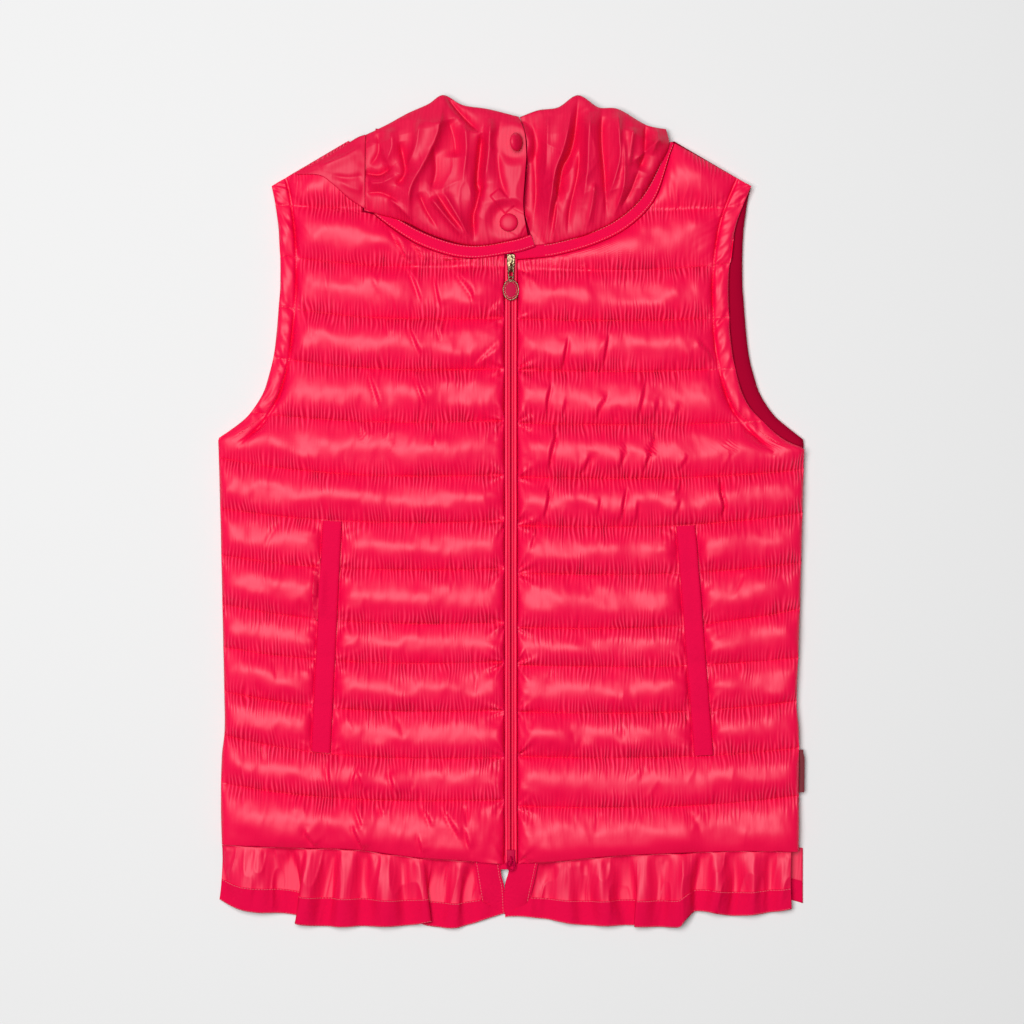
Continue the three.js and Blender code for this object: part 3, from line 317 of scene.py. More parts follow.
hemLine = [(-242, -272.5), (-186, -275.1), (-129, -276.8), (-81, -283.0), (-42, -285.8),
           (-6, -288.4), (6, -288.4), (36, -286.6), (81, -282.3), (134, -279.7), (187, -277.9),
           (242, -278.8)]
# height of each quilting line at the zip and at the side: left front, then right front
quilting = [(-236.2, -221.8, -241.5, -232.5), (-201.3, -182.8, -200.5, -193.4),
            (-162.8, -146.9, -163.8, -154.9), (-122.9, -110.3, -125.5, -119.3),
            (-90.6, -75.0, -94.5, -79.1), (-46.3, -34.9, -50.0, -41.1), (-7.3, 3.4, -10.9, -0.2),
            (30.9, 45.1, 29.1, 35.3), (75.4, 82.4, 73.6, 75.0), (118.2, 127.9, 117.3, 118.5),
            (160.0, 169.7, 159.1, 160.5), (203.0, 211.6, 200.0, 205.0), (250.5, 253.0, 250.2, 251.5)]
neckTapeLeft = [(17.6, 223.2, 10.8), (6, 219.4, 10.8), (-6.2, 217.3, 10.8), (-29.5, 214.2, 10.8),
                (-51, 216.8, 10.8), (-76, 226.0, 10.8), (-97, 238.4, 9), (-112, 248.6, 6)]
neckTapeRight = [(1.6, 213.0, 10.8), (22, 214.8, 10.8), (36.5, 216.8, 10.8), (60.3, 223.2, 10.8),
                 (80.8, 231.6, 10.8), (95.8, 241.2, 10.8), (108.2, 253.0, 10.8), (116.2, 265.0, 9.5),
                 (122.6, 280.0, 6.5), (128.0, 295.0, 4.5), (132.0, 304.0, 3.5)]


backHemLow = -276


def backHemY(x):
    return backHemLow + 24 * (1 - (x / 240) ** 2)


def backNeckY(x):
    return shoulder["neckY"] - 14 * (1 - (x / shoulder["neckX"]) ** 2)


def tapeEdge(table, t, out, side=1):
    # a point on a binding's edge: side 1 is its outer edge, -1 its inner one
    t = np.asarray(t, float)
    along = [row[:2] for row in table]
    p = onCurve(along, t)
    d = onCurve(along, np.minimum(t + 0.002, 1)) - onCurve(along, np.maximum(t - 0.002, 0))
    d /= np.linalg.norm(d, axis=-1, keepdims=True)
    width = np.interp(t * (len(table) - 1), np.arange(len(table)), [row[2] for row in table])
    reach = side * (width / 2 + out)
    return stacked(p[..., 0] - d[..., 1] * reach, p[..., 1] + d[..., 0] * reach)


# Quilted fronts

leftFront = {
    "name": "front_left", "side": -1, "zipX": -6.2, "lines": [row[:2] for row in quilting],
    "armhole": [(y, -x) for y, x in armhole], "seam": sideSeamLeft, "weltTop": -155.3, "weltLow": -164.8,
    "seed": 11,
}
rightFront = {
    "name": "front_right", "side": 1, "zipX": 5.2, "lines": [row[2:] for row in quilting],
    "armhole": armholeRightFront, "seam": sideSeamRight, "weltTop": 134.8, "weltLow": 149.7,
    "seed": 47,
}
fronts = {
    "columns": 236,
    "rowsPerChannel": 23,
    "fanRows": 68,
    "neckTurn": 0.62,
    "crest": 8.8,
    "round": 0.77,
    "least": 2.0,
    "sag": 1.6,
    "armholeBand": 13.0,
    "weltWidth": 16.4,
}


def edgeX(front, y):
    return np.where(y > front["armhole"][0][0], readTable(front["armhole"], y), readTable(front["seam"], y))


def quiltY(front, line, x):
    if line < 0:
        return readTable(hemLine, x)
    zipY, sideY = front["lines"][line]
    share = np.minimum(np.abs((x - front["zipX"]) / (edgeX(front, sideY) - front["zipX"])), 1.2)
    return zipY + (sideY - zipY) * share**3 - fronts["sag"] * np.sin(np.pi * np.minimum(share, 1))


def shoulderY(x):
    share = (np.abs(x) - shoulder["neckX"]) / (shoulder["tipX"] - shoulder["neckX"])
    return mix(shoulder["neckY"], shoulder["tipY"], share)


def weltX(front, y):
    lowY, highY = front["lines"][1][0], front["lines"][6][0]
    return mix(front["weltLow"], front["weltTop"], (y - lowY) / (highY - lowY))


def neckline(front, t):
    turn = fronts["neckTurn"]
    if front["side"] > 0:
        return tapeEdge(neckTapeRight, mix(0.02, 1, t), 0.45, -1)
    rise = np.clip((t - turn) / (1 - turn), 0, 1)
    toShoulder = np.maximum(0, rise - 0.72) / 0.28
    beside = stacked(mix(-122.3, -shoulder["neckX"], toShoulder), mix(246.5, shoulder["neckY"], rise))
    under = tapeEdge(neckTapeLeft, mix(0.29, 1, np.clip(t / turn, 0, 1)), 0.45, 1)
    return np.where((t <= turn)[..., None], under, beside)


def frontPlan(front):
    # x and y of the grid: rows follow the quilting, columns run from the side to the zip
    share = np.linspace(0, 1, fronts["columns"])[None, :]
    part = np.linspace(0, 1, fronts["rowsPerChannel"] + 1)[:-1]
    part = part - 0.5 * np.sin(2 * np.pi * part) / (2 * np.pi)
    rowsX, rowsY = [], []
    for line in range(-1, 11):
        sideLow = float(quiltY(front, line, front["side"] * 238.0)) if line < 0 else front["lines"][line][1]
        sideY = mix(sideLow, front["lines"][line + 1][1], part)[:, None]
        x = mix(edgeX(front, sideY), front["zipX"], share)
        rowsX.append(x)
        rowsY.append(mix(quiltY(front, line, x), quiltY(front, line + 1, x), part[:, None]))
    zipY, sideLow = front["lines"][11]
    sideMid = front["lines"][12][1]
    k = np.linspace(0, 1, fronts["fanRows"])
    breaks = [0, 0.03, 0.55, 1]
    sideY = np.interp(k, breaks, [sideLow, mix(sideLow, sideMid, 0.04), sideMid, shoulder["tipY"] - 0.4])
    neck = np.interp(k, breaks, [0, 0, fronts["neckTurn"], 1])
    inner = neckline(front, neck)
    firstRow = smooth(k, 0, 0.03)
    innerX = mix(front["zipX"], inner[:, 0], firstRow)[:, None]
    innerY = mix(zipY, inner[:, 1], firstRow)[:, None]
    outerX = edgeX(front, sideY)[:, None]
    straight = mix(sideY[:, None], innerY, share)
    x = mix(outerX, innerX, share)
    sagging = (quiltY(front, 11, x) - straight) * (1 - smooth(k, 0, 0.3))[:, None] * (1 - share**4)
    rowsX.append(x)
    rowsY.append(straight + sagging)
    return np.concatenate(rowsX), np.concatenate(rowsY)


# creases as they lie on each front, drawn from the top down: (depth, points...)
creasesLeft = [
    (1.0, (-88, 205), (-80, 192.5), (-72.4, 172)), (0.8, (-62.6, 197), (-59.2, 176.5), (-57, 169.6)),
    (1.1, (-47.7, 200.6), (-32.8, 182), (-30.5, 174)), (0.9, (-84.5, 158), (-78.8, 142), (-72.4, 128)),
    (0.6, (-62.6, 158), (-55.8, 141)), (0.6, (-103, 158), (-99.5, 146.6)),
    (0.9, (-118, 120), (-112, 103), (-106.4, 85.6)), (1.0, (-81, 116.7), (-75.3, 105), (-68.4, 85.6)),
    (0.7, (-124.8, 74), (-118, 59)), (0.8, (-105, 78.7), (-100.6, 61.5)), (0.7, (-67.3, 74), (-62.7, 54.6)),
    (0.9, (-6.8, 139.7), (-19, 130), (-29.3, 121.3)), (0.8, (-7.5, 173), (-20, 162.7)),
    (1.1, (-97, 231.7), (-88, 213.3), (-85.7, 206.4)), (0.9, (-80, 221), (-69.6, 205)),
    (0.9, (-55.8, 212), (-46.6, 201.8)), (0.9, (-150, -200), (-148.6, -217.7), (-147, -229)),
    (0.8, (-125.5, -207.6), (-131, -224.8)), (0.9, (-99.6, -212), (-94, -232)),
    (0.7, (-125.5, -212), (-119.8, -229)), (1.0, (-128.4, -237.8), (-121, -258)),
    (0.8, (-111, -236.4), (-104, -248)), (1.0, (-72.3, -240.7), (-63.7, -256.5)),
    (1.1, (-56.5, -240.7), (-47.8, -255), (-40.6, -266.6)), (0.9, (-170, -260.8), (-160, -273.8)),
    (1.0, (-129.8, -256.5), (-121, -276.6)), (0.8, (-37.8, -258), (-33.4, -275)),
    (0.7, (-76, -266), (-72, -279)),
]
creasesRight = [
    (0.9, (45, 142.7), (42.6, 129), (39.8, 115)), (0.9, (78.3, 146), (76, 132.4), (73.7, 118.6)),
    (0.9, (31.7, 106), (28.3, 92), (27.7, 76)), (0.7, (43.8, 91), (40.3, 78.3)),
    (0.9, (78.3, 96.7), (71.4, 86.4), (68, 76)), (0.8, (119.7, 92), (116.3, 81.8), (114, 75)),
    (0.9, (108.8, 108), (105.3, 89.8), (102.5, 77.2)), (0.6, (137, 89.8), (133, 78.3)),
    (1.3, (37, 69), (31.7, 50.7), (29.4, 34.6)), (0.9, (64.5, 47.3), (58.7, 37), (55.3, 31)),
    (0.9, (92.7, 58.8), (89.2, 42.7), (88, 35.7)), (1.3, (116.3, 66.8), (112.8, 50.7), (106, 31)),
    (0.7, (143.3, 45), (135.8, 34.6)), (0.9, (30, 22), (28.3, 7), (24.8, -5.7)),
    (0.6, (71.4, 10.4), (69.7, -2.2)),
    (1.0, (93.3, 20.8), (90.4, 7), (88.7, -9)), (0.6, (102.5, 8), (101.3, -8)),
    (0.7, (139.3, 27.7), (133.5, 14)),
    (0.6, (137, 10.4), (133.5, -3.4)), (1.4, (170.3, 31), (169.8, 17.3), (172.6, 5.8), (171, -4.5)),
    (0.45, (181, 74), (179, 57.6), (177.8, 44)),
    (0.9, (150.8, 141.6), (160, 132.4), (166.3, 125)),
    (0.9, (7, 85.8), (15, 79.5), (16.7, 72.6), (12.7, 66.8)),
    (0.8, (20.8, -9.7), (7.5, 0)), (0.7, (20.8, -9.7), (8, -17)), (0.7, (20.8, -9.7), (14, -30)),
]


def handCreases(front):
    # a fold with one steep side, and a shallow dip along its foot
    folds = []
    for depth, *points in creasesLeft if front["side"] < 0 else creasesRight:
        folds.append((points, 2.5 * depth, 3.4, -0.66 * front["side"]))
        foot = [(px - 2.0 * -front["side"], py) for px, py in points]
        folds.append((foot, -1.7 * depth, 1.7, 0.0))
    return folds


def smallCreases(front, rng):
    # lesser ones between them: slanted, uneven in length and depth
    folds = []
    for line, count in enumerate((9, 8, 7, 5, 4, 4, 4, 3, 3, 3, 5, 6, 4), -1):
        for _ in range(count):
            x = front["zipX"] + rng.uniform(8, 205) * front["side"]
            low = float(quiltY(front, line, x))
            high = float(quiltY(front, line + 1, x)) if line < 12 else low + 40
            up = rng.random() < 0.4
            length = rng.uniform(0.25, 0.6) * (high - low)
            slant = rng.uniform(0.1, 0.7) * (1 if rng.random() < 0.8 else -1) * front["side"]
            startY, sign = (low + 3, 1) if up else (high - 3, -1)
            bend = rng.uniform(-1.5, 1.5)
            points = [(x, startY), (x + sign * slant * length * 0.5 + bend, startY + sign * length * 0.5),
                      (x + sign * slant * length, startY + sign * length)]
            folds.append((points, rng.uniform(-1.1, 0.9), rng.uniform(1.5, 3.4), rng.uniform(-0.6, 0.6)))
    return folds


def frontHeight(front, x, y):
    seed = front["seed"]
    rng = np.random.default_rng(seed)
    lines = np.stack([quiltY(front, line, x) for line in range(-1, 13)])
    index = np.clip((y[None] >= lines - 1e-6).sum(0) - 1, 0, 13)
    low = np.take_along_axis(lines, index[None], 0)[0]
    tops = np.concatenate([lines[1:], shoulderY(x)[None]])
    high = np.take_along_axis(tops, index[None], 0)[0]
    pitch = np.maximum(high - low, 6)
    share = np.clip((y - low) / pitch, 0, 1)
    # the crest wanders up and down its channel, and swells and thins along it
    shift = 0.16 * lumps(seed + 14, x / 30, index * 4.9) + 0.06 * lumps(seed + 15, x / 9, index * 6.1)
    share = share + np.where(index == 0, 0.3, 1) * shift * share * (1 - share) * 2
    swell = 1 + 0.22 * lumps(seed, x / 34, index * 3.7)
    # every few millimetres the cloth is drawn in at the stitches, so the crest reaches further down there
    swayed = x + 1.5 * lumps(seed + 19, x / 11, y / 18)
    drawnIn = lumps(seed + 18, swayed / 2.7, index * 3.1 + y / 40)
    around = fronts["round"] * (1 - 0.17 * drawnIn)
    fill = fronts["crest"] * np.minimum(pitch / 41, 1.05) * np.sin(np.pi * share) ** around * swell
    rolled = fronts["crest"] * (1 - 0.62 * np.clip(1 - 2 * share, 0, 1) ** 2.4) * np.minimum(pitch / 41, 1.05)
    fill = np.where((index == 0) & (share < 0.5), rolled * swell, fill)
    fromEdge = np.abs(x - edgeX(front, y))
    fromZip = np.abs(x - front["zipX"])
    edge = np.array([[ax, ay] for ay, ax in front["armhole"]])
    fromArmhole, _, alongEdge = nearest(x, y, onCurve(edge, np.linspace(0, 1, 60)))
    neck = neckline(front, np.linspace(0, 1, 60))
    fromNeck = nearest(x, y, neck)[0]
    inBand = fronts["armholeBand"]
    alongArmhole = smooth(y, front["armhole"][0][0] - 10, front["armhole"][0][0] + 14)
    seamAway = np.abs(fromArmhole - inBand)
    band = 1 - np.exp(-((seamAway / 5.5) ** 0.9))
    edgeBand = 0.5 * np.sqrt(np.clip(fromArmhole / inBand * (1 - fromArmhole / inBand) * 4, 0, 1))
    atSeam = mix(1, np.where(fromArmhole < inBand, edgeBand, band), alongArmhole)
    atSide = mix(np.sqrt(1 - np.exp(-fromEdge / 7)), 1, alongArmhole)
    atZip = 0.22 + 0.78 * np.sqrt(1 - np.exp(-fromZip / 7))
    atNeck = 0.3 + 0.7 * np.sqrt(1 - np.exp(-fromNeck / 7))

    # the bed of the welt, and the puckers that run out from it
    left = weltX(front, y)
    fromWelt = np.maximum(left - x, x - left - fronts["weltWidth"])
    lowEnd, highEnd = quiltY(front, 1, x), quiltY(front, 6, x)
    beside = smooth(y, lowEnd - 1.5, lowEnd + 1.5) * smooth(y, highEnd + 1.5, highEnd - 1.5)
    bed = 1 - np.exp(-np.maximum(fromWelt, 0) / 4.5)
    atWelt = mix(1, 0.25 + 0.75 * bed, beside)
    fill = fill * atSeam * atSide * atZip * atNeck * atWelt

    fromLine = np.where(index == 0, high - y, np.minimum(y - low, high - y))
    body = np.clip(fill / fronts["crest"], 0, 1)
    height = fronts["least"] + fill
    height += 1.2 * body * lumps(seed + 1, x / 19 + y / 60, y / 14)
    height += 0.35 * body * lumps(seed + 2, (x + 0.3 * front["side"] * y) / 6.5, y / 15)
    # puckers: a coarse set here, the fine comb in the material
    strong = 0.6 + 0.55 * lumps(seed + 3, x / 22, index * 5.3 + 0.5)
    nearLine = np.exp(-((fromLine / 8) ** 1.8)) * (1 - 0.6 * np.exp(-fromLine / 1.2))
    warped = x + 1.6 * lumps(seed + 4, x / 12, y / 20)
    height += 0.4 * strong * nearLine * lumps(seed + 5, warped / 2.9, y / 15)
    height += 0.5 * nearLine * lumps(seed + 16, warped / 5.8, y / 19)
    nearZip = np.exp(-((fromZip / 9) ** 1.3)) * smooth(fromZip, 0, 2)
    height += 0.8 * nearZip * lumps(seed + 6, x / 14, y / 3.4 + 0.16 * x)
    # wrinkles that fan out where each quilting line is caught in the zip
    above = y - low < high - y
    offLine = np.where(above, y - low, y - high)
    fan = lumps(seed + 17, 3.4 * np.arctan2(offLine, fromZip + 1.5) + 9, (index + ~above) * 5.7)
    fromEnd = np.hypot(offLine, fromZip)
    height += 2.6 * fan * np.exp(-((fromEnd / 14) ** 2)) * smooth(fromEnd, 0, 5)
    nearWelt = beside * np.exp(-np.abs(fromWelt) / 6.5) * smooth(fromWelt, 0, 1.5)
    height += 1.5 * nearWelt * lumps(seed + 7, x / 9, y / 3.1 - 0.12 * np.abs(fromWelt))
    nearArmhole = alongArmhole * np.where(fromArmhole < inBand, 1, np.exp(-seamAway / 6))
    slanted = alongEdge * 236 / 3.6 + 0.22 * fromArmhole
    height += 0.85 * nearArmhole * lumps(seed + 8, slanted, fromArmhole / 10) * smooth(fromArmhole, 0, 3)
    height -= 1.6 * alongArmhole * np.exp(-((seamAway / 1.1) ** 2))
    nearNeck = np.exp(-fromNeck / 8) * smooth(fromNeck, 0, 1.5)
    height += 0.6 * nearNeck * lumps(seed + 9, x / 3.4 + y / 9, y / 12)
    folds = handCreases(front) + smallCreases(front, rng)
    height += creased(x, y, folds, 10, 1.3) * np.minimum(1, 0.25 + fromLine / 4) * np.clip(body * 1.8, 0, 1)
    # pucker also places the comb's painted highlight and painted shade in the material's colour, besides its
    # bump
    reach = 8.6 + 3.8 * lumps(seed + 12, x / 2.6, index * 7.7 + (share > 0.5)) + 1.5 * strong
    pucker = np.exp(-((fromLine / reach) ** 2.8)) * np.clip(strong * 1.3, 0.15, 1.25)
    pucker = np.maximum(pucker, 0.02) * smooth(fromZip, 0, 6) * (1 - np.clip(nearArmhole, 0, 1))
    return frontBase + np.maximum(height, 1.2), pucker


def quiltedFront(front):
    x, y = frontPlan(front)
    z, pucker = frontHeight(front, x, y)
    if front["side"] > 0:
        x, y, z, pucker = (field[:, ::-1] for field in (x, y, z, pucker))
    bm = gridFrom(stacked(x, y, z))
    closeBelow(bm, frontBase)
    obj = meshObject(front["name"] + "_quilt", bm, shellLook, sharp=62)
    addAttribute(obj, "pucker", pucker)
    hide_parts(front["name"])
    return obj


for front in (leftFront, rightFront):
    quiltedFront(front)
print("fronts")

# Back panel: channels pressed flat where they rest, lining on its inside

back = {"columns": 132, "rows": 150, "groove": 3.4, "round": 9.0}
backLines = np.array([0.5 * (row[1] + row[3]) for row in quilting])


def backPanel():
    u = np.linspace(-1, 1, back["columns"])[None, :]
    sideY = np.linspace(backHemLow, shoulder["tipY"], back["rows"])[:, None]
    half = np.where(sideY > armhole[0][0], readTable(armhole, sideY),
                    np.minimum(readTable(sideSeamRight, sideY), -readTable(sideSeamLeft, sideY)) - 0.3)
    x = u * half
    topLine = np.where(np.abs(x) > shoulder["neckX"], shoulderY(x), backNeckY(x))
    y = sideY + (topLine - shoulder["tipY"]) * smooth(sideY, 90, shoulder["tipY"])
    y = y + (backHemY(x) - backHemLow) * (1 - smooth(sideY, backHemLow, -190))
    fromLine = np.abs(y[None] - backLines[:, None, None]).min(0)
    fromRim = np.minimum(half - np.abs(x), np.minimum(sideY - backHemLow, shoulder["tipY"] - sideY))
    rounding = 3.2 * (1 - np.sqrt(np.clip(1 - (1 - np.clip(fromRim / back["round"], 0, 1)) ** 2, 0, 1)))
    groove = back["groove"] * np.exp(-((fromLine / 5.5) ** 1.3))
    wrinkle = 0.5 * np.exp(-fromLine / 7) * (1 + lumps(5, x / 2.8, y / 14))
    below = np.maximum(groove + wrinkle + rounding - 0.45, 0)
    seam = 0.7 * np.exp(-((fromLine / 2.2) ** 2)) + 0.25 * np.exp(-fromLine / 7) * lumps(6, x / 2.6, y / 16)
    above = backTop - 0.6 - np.maximum(seam, 0) - 0.6 * rounding
    below = np.minimum(below, above - 1.6)
    bm, rims = gridPair(x, y, above, below)
    bmesh.ops.bridge_loops(bm, edges=rims)
    obj = meshObject("back_quilt", bm, shellLook, sharp=70)
    obj.data.materials.append(liningLook)
    normals = np.zeros(len(obj.data.polygons) * 3)
    obj.data.polygons.foreach_get("normal", normals)
    centres = np.zeros(len(obj.data.polygons) * 3)
    obj.data.polygons.foreach_get("center", centres)
    inside = (normals[2::3] > -0.3) & (centres[2::3] > 4.6 * mm)
    obj.data.polygons.foreach_set("material_index", inside.astype(np.int32))
    addAttribute(obj, "pucker", np.exp(-fromLine / 9))
    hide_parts("back")


backPanel()
print("back")

# Ribbed tapes. A strip has a plan of rows across it; its top is crowned and its edges are rolled.

def strip(name, points, look, thick, ribsAlong, node=None, crown=0.5):
    # points: rows along the strip x columns across it x 3; ribsAlong: distance along in millimetres
    across = np.linspace(-1, 1, points.shape[1])[None, :]
    edge = np.clip((1 - np.abs(across)) * 7, 0, 1)
    top = points.copy()
    top[..., 2] += thick * (0.55 + 0.45 * np.sqrt(1 - (1 - edge) ** 2)) + crown * (1 - across**2)
    bm = gridFrom(top)
    rim = [edge for edge in bm.edges if edge.is_boundary]
    made = bmesh.ops.extrude_edge_only(bm, edges=rim)["geom"]
    flat = points.reshape(-1, 3)
    for vert in [v for v in made if isinstance(v, bmesh.types.BMVert)]:
        gap = np.hypot(flat[:, 0] * mm - vert.co.x, flat[:, 1] * mm - vert.co.y)
        vert.co.z = flat[gap.argmin(), 2] * mm
    obj = meshObject(name, bm, look, sharp=60)
    ribs = np.broadcast_to(ribsAlong[:, None], points.shape[:2])
    addAttribute(obj, "rib", ribs)
    if node:
        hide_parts(node)
    return obj


def lengthAlong(points):
    steps = np.linalg.norm(np.diff(points, axis=0), axis=1)
    return np.concatenate([[0], np.cumsum(steps)])


def neckTape(name, table, baseAt):
    t = np.linspace(0, 1, 220)
    outer, inner = tapeEdge(table, t, 0, 1), tapeEdge(table, t, 0, -1)
    across = np.linspace(0, 1, 13)[None, :, None]
    plan = mix(outer[:, None, :], inner[:, None, :], across)
    middle = plan[:, 6, :]
    base = baseAt(middle[:, 0])[:, None] + 0.12 * lumps(31, lengthAlong(middle)[:, None] / 6, 0)
    points = np.concatenate([plan, np.broadcast_to(base[..., None], plan.shape[:2] + (1,))], -1)
    return strip(name, points, ribbedLook, 2.3, lengthAlong(middle), name.replace("_ribbed", ""))


def leftTapeBase(x):
    # the end of the left binding lies on the end of the right one
    return frontBase + 3.3 * smooth(x, -12, 3)


def rightTapeBase(x):
    return frontBase + 0 * x


neckTape("neck_tape_left_ribbed", neckTapeLeft, leftTapeBase)
neckTape("neck_tape_right_ribbed", neckTapeRight, rightTapeBase)
backX = np.linspace(-112, 112, 120)
backTapeLine = stacked(backX, backNeckY(backX) + 5.6, 0 * backX)
backTapeLine = backTapeLine[:, None, :] + np.linspace(5.1, -5.1, 9)[None, :, None] * np.array([0, 1, 0])
backTapeRun = lengthAlong(backTapeLine[:, 4])
strip("neck_tape_back_ribbed", backTapeLine, ribbedLook, 2.4, backTapeRun, "neck_tape_back")
print("tapes")

# Hood, heaped in the neck: a left half with the button placket, a right half and a rear half

hoodLeftLow = [(-121.0, 248.2), (-109.0, 244.6), (-88.0, 238.6), (-66.0, 227.9), (-42.0, 220.4),
               (-25.0, 218.9), (-6.0, 221.8), (13.4, 226.6)]
hoodLeftTop = [(-120.5, 310.2), (-101.3, 319.4), (-84.9, 328.4), (-68.5, 335.8), (-56.0, 343.2),
               (-40.0, 335.0), (-19.3, 331.7), (5.8, 325.4)]
placket = [(0, 13.4, 226.6), (0.22, 9.8, 248.9), (0.48, 11.1, 275.1), (0.68, 12.2, 293.2),
           (0.86, 10.7, 311.2), (1, 5.8, 325.4)]
hoodRightLow = [(18.6, 219.4), (34.0, 221.0), (45.5, 223.6), (60.8, 227.6), (79.4, 235.9),
                (93.2, 244.9), (104.9, 256.0), (112.6, 267.6)]
hoodRightTop = [(6.4, 325.2), (21.7, 330.9), (38.1, 333.3), (54.5, 343.2), (70.9, 333.3),
                (87.3, 331.7), (110.0, 318.8), (127.0, 315.2)]
hoodRightSide = [(0, 112.6, 267.6), (0.4, 121.0, 284.0), (0.78, 129.4, 302.0), (1, 127.0, 315.2)]
hoodLeftSide = [(0, -121.0, 248.2), (0.3, -122.6, 267.8), (0.58, -124.2, 284.4), (0.74, -124.0, 293.8),
                (0.9, -121.4, 303.2), (1, -120.5, 310.2)]
placketGap = [(0, 18.6, 219.4)] + [(t, x + 0.8, y - 0.4) for t, x, y in placket[1:]]
snaps = {"lower": {"at": (-2.3, 237.6), "bed": 9.0, "tilt": 0.0},
         "upper": {"at": (2.6, 302.6), "bed": 12.0, "tilt": 0.95}}

# (points, rise, width, lean) of the folds, each drawn from its upper end down
foldsLeft = [
    ([(-56, 336), (-60, 311), (-70, 288), (-81, 269), (-84, 255), (-83, 238)], 6.0, 6.5, -0.5),
    ([(-52, 322), (-47, 306), (-46, 290)], -5.0, 7.5, 0.0),
    ([(-24, 312), (-26, 294), (-28, 272), (-26, 262)], -7.5, 3.8, 0.35),
    ([(-24, 272), (-28, 254), (-31, 242), (-30, 221)], -6.0, 3.2, -0.3),
    ([(-54, 342), (-40, 325), (-25, 310)], -5.0, 3.4, 0.3),
    ([(-17, 324), (-19, 294), (-22, 270)], 4.5, 4.2, 0.2),
    ([(-9, 322), (-11, 296), (-9, 274), (-2, 254)], -3.4, 4.2, -0.3),
    ([(-92, 304), (-87, 279), (-95, 268)], -4.5, 3.8, 0.4),
    ([(-122, 279), (-108, 277), (-97, 284)], -4.5, 3.0, 0.3),
    ([(-119, 262), (-106, 262), (-92, 254)], -3.5, 3.0, 0.2),
    ([(-118, 270), (-106, 270), (-94, 276)], 3.0, 4.0, 0.0),
    ([(-67, 258), (-54, 242), (-39, 225)], 4.5, 3.6, 0.4),
    ([(-56, 262), (-43, 240), (-33, 222)], 3.5, 2.8, 0.3),
    ([(-62, 262), (-50, 244), (-38, 230)], -3.0, 2.2, 0.0),
    ([(-75, 322), (-78, 300), (-86, 282)], 4.0, 5.0, 0.3),
    ([(-100, 316), (-98, 300), (-103, 286)], 3.5, 5.0, 0.0),
    ([(-110, 312), (-109, 296), (-116, 284)], -3.0, 3.6, 0.3),
    ([(-38, 318), (-37, 296), (-40, 270)], 3.5, 4.5, -0.2),
    ([(-64, 300), (-62, 280), (-66, 262)], -3.0, 4.0, 0.3),
    ([(-101, 258), (-92, 250), (-80, 238)], 3.0, 3.0, 0.2),
    ([(-76, 262), (-70, 248), (-60, 232)], -2.5, 2.4, 0.2),
]
foldsRight = [
    ([(18, 318), (19, 290), (20, 262), (18, 238)], -6.5, 4.0, 0.2),
    ([(55, 342), (52, 311), (48, 294), (42, 283), (39, 266), (35, 245), (32, 221)], -7.5, 3.8, 0.4),
    ([(50, 338), (46, 312), (42, 296), (36, 280), (33, 262), (30, 240), (28, 222)], 5.0, 4.4, -0.3),
    ([(74, 326), (74, 300), (76, 279), (78, 240)], -5.5, 3.6, 0.3),
    ([(87, 330), (88, 310), (88, 286), (78, 255)], 5.0, 4.4, -0.3),
    ([(92, 306), (92, 269), (84, 243)], 3.5, 3.2, 0.2),
    ([(110, 320), (109, 294), (104, 280)], -5.0, 3.6, 0.3),
    ([(99, 286), (115, 300), (128, 308)], 3.5, 3.4, 0.2),
    ([(36, 268), (37, 244), (33, 221)], 3.4, 2.6, 0.2),
    ([(30, 326), (29, 300), (28, 276)], 3.5, 4.4, 0.0),
    ([(64, 330), (63, 304), (62, 280), (58, 250)], 5.0, 5.0, 0.2),
    ([(56, 300), (54, 276), (48, 250), (46, 228)], -3.5, 3.0, 0.3),
    ([(68, 270), (66, 252), (62, 232)], 3.2, 3.0, 0.0),
    ([(100, 316), (98, 300), (96, 282)], 3.8, 3.6, -0.2),
    ([(104, 280), (98, 264), (90, 250)], -3.0, 2.6, 0.2),
    ([(119, 316), (119, 304), (114, 292)], 3.0, 3.0, 0.0),
]
hood = {"columns": 172, "rows": 140, "rise": 15.6, "thick": 0.35, "least": 2.6}


def hoodPlan(low, top, leftSide, rightSide):
    u = np.linspace(0, 1, hood["columns"])[None, :]
    v = np.linspace(0, 1, hood["rows"])[:, None]
    plan = mix(onCurve(low, u), onCurve(top, u), v[..., None])
    for table, end, share in ((leftSide, 0, 1 - u), (rightSide, 1, u)):
        if table:
            straight = mix(onCurve(low, [end]), onCurve(top, [end]), v)
            side = stacked(readTable(table, v[:, 0]), readTable(table, v[:, 0], 2))
            plan = plan + (side - straight)[:, None, :] * share[..., None]
    return u, v, plan


def sewnTab(x, y, snap):
    # the folded ribbon beside the lower snap and the pointed patch that the snap sits on
    def inBox(centre, ahead, length, wide, rise):
        ahead = np.array(ahead) / np.hypot(*ahead)
        along = np.abs((x - centre[0]) * ahead[0] + (y - centre[1]) * ahead[1])
        aside = np.abs((y - centre[1]) * ahead[0] - (x - centre[0]) * ahead[1])
        inLength = smooth(along, length / 2 + 0.3, length / 2 - 1.2)
        return rise * (inLength * smooth(aside, wide / 2 + 0.3, wide / 2 - 1.2))

    patch = inBox((snap["at"][0] + 5, snap["at"][1] + 0.5), (0.5, 0.87), 19, 19, 0.8)
    return np.maximum(inBox((-7.5, 255.0), (0.667, -0.745), 19.5, 10.8, 1.6), patch)


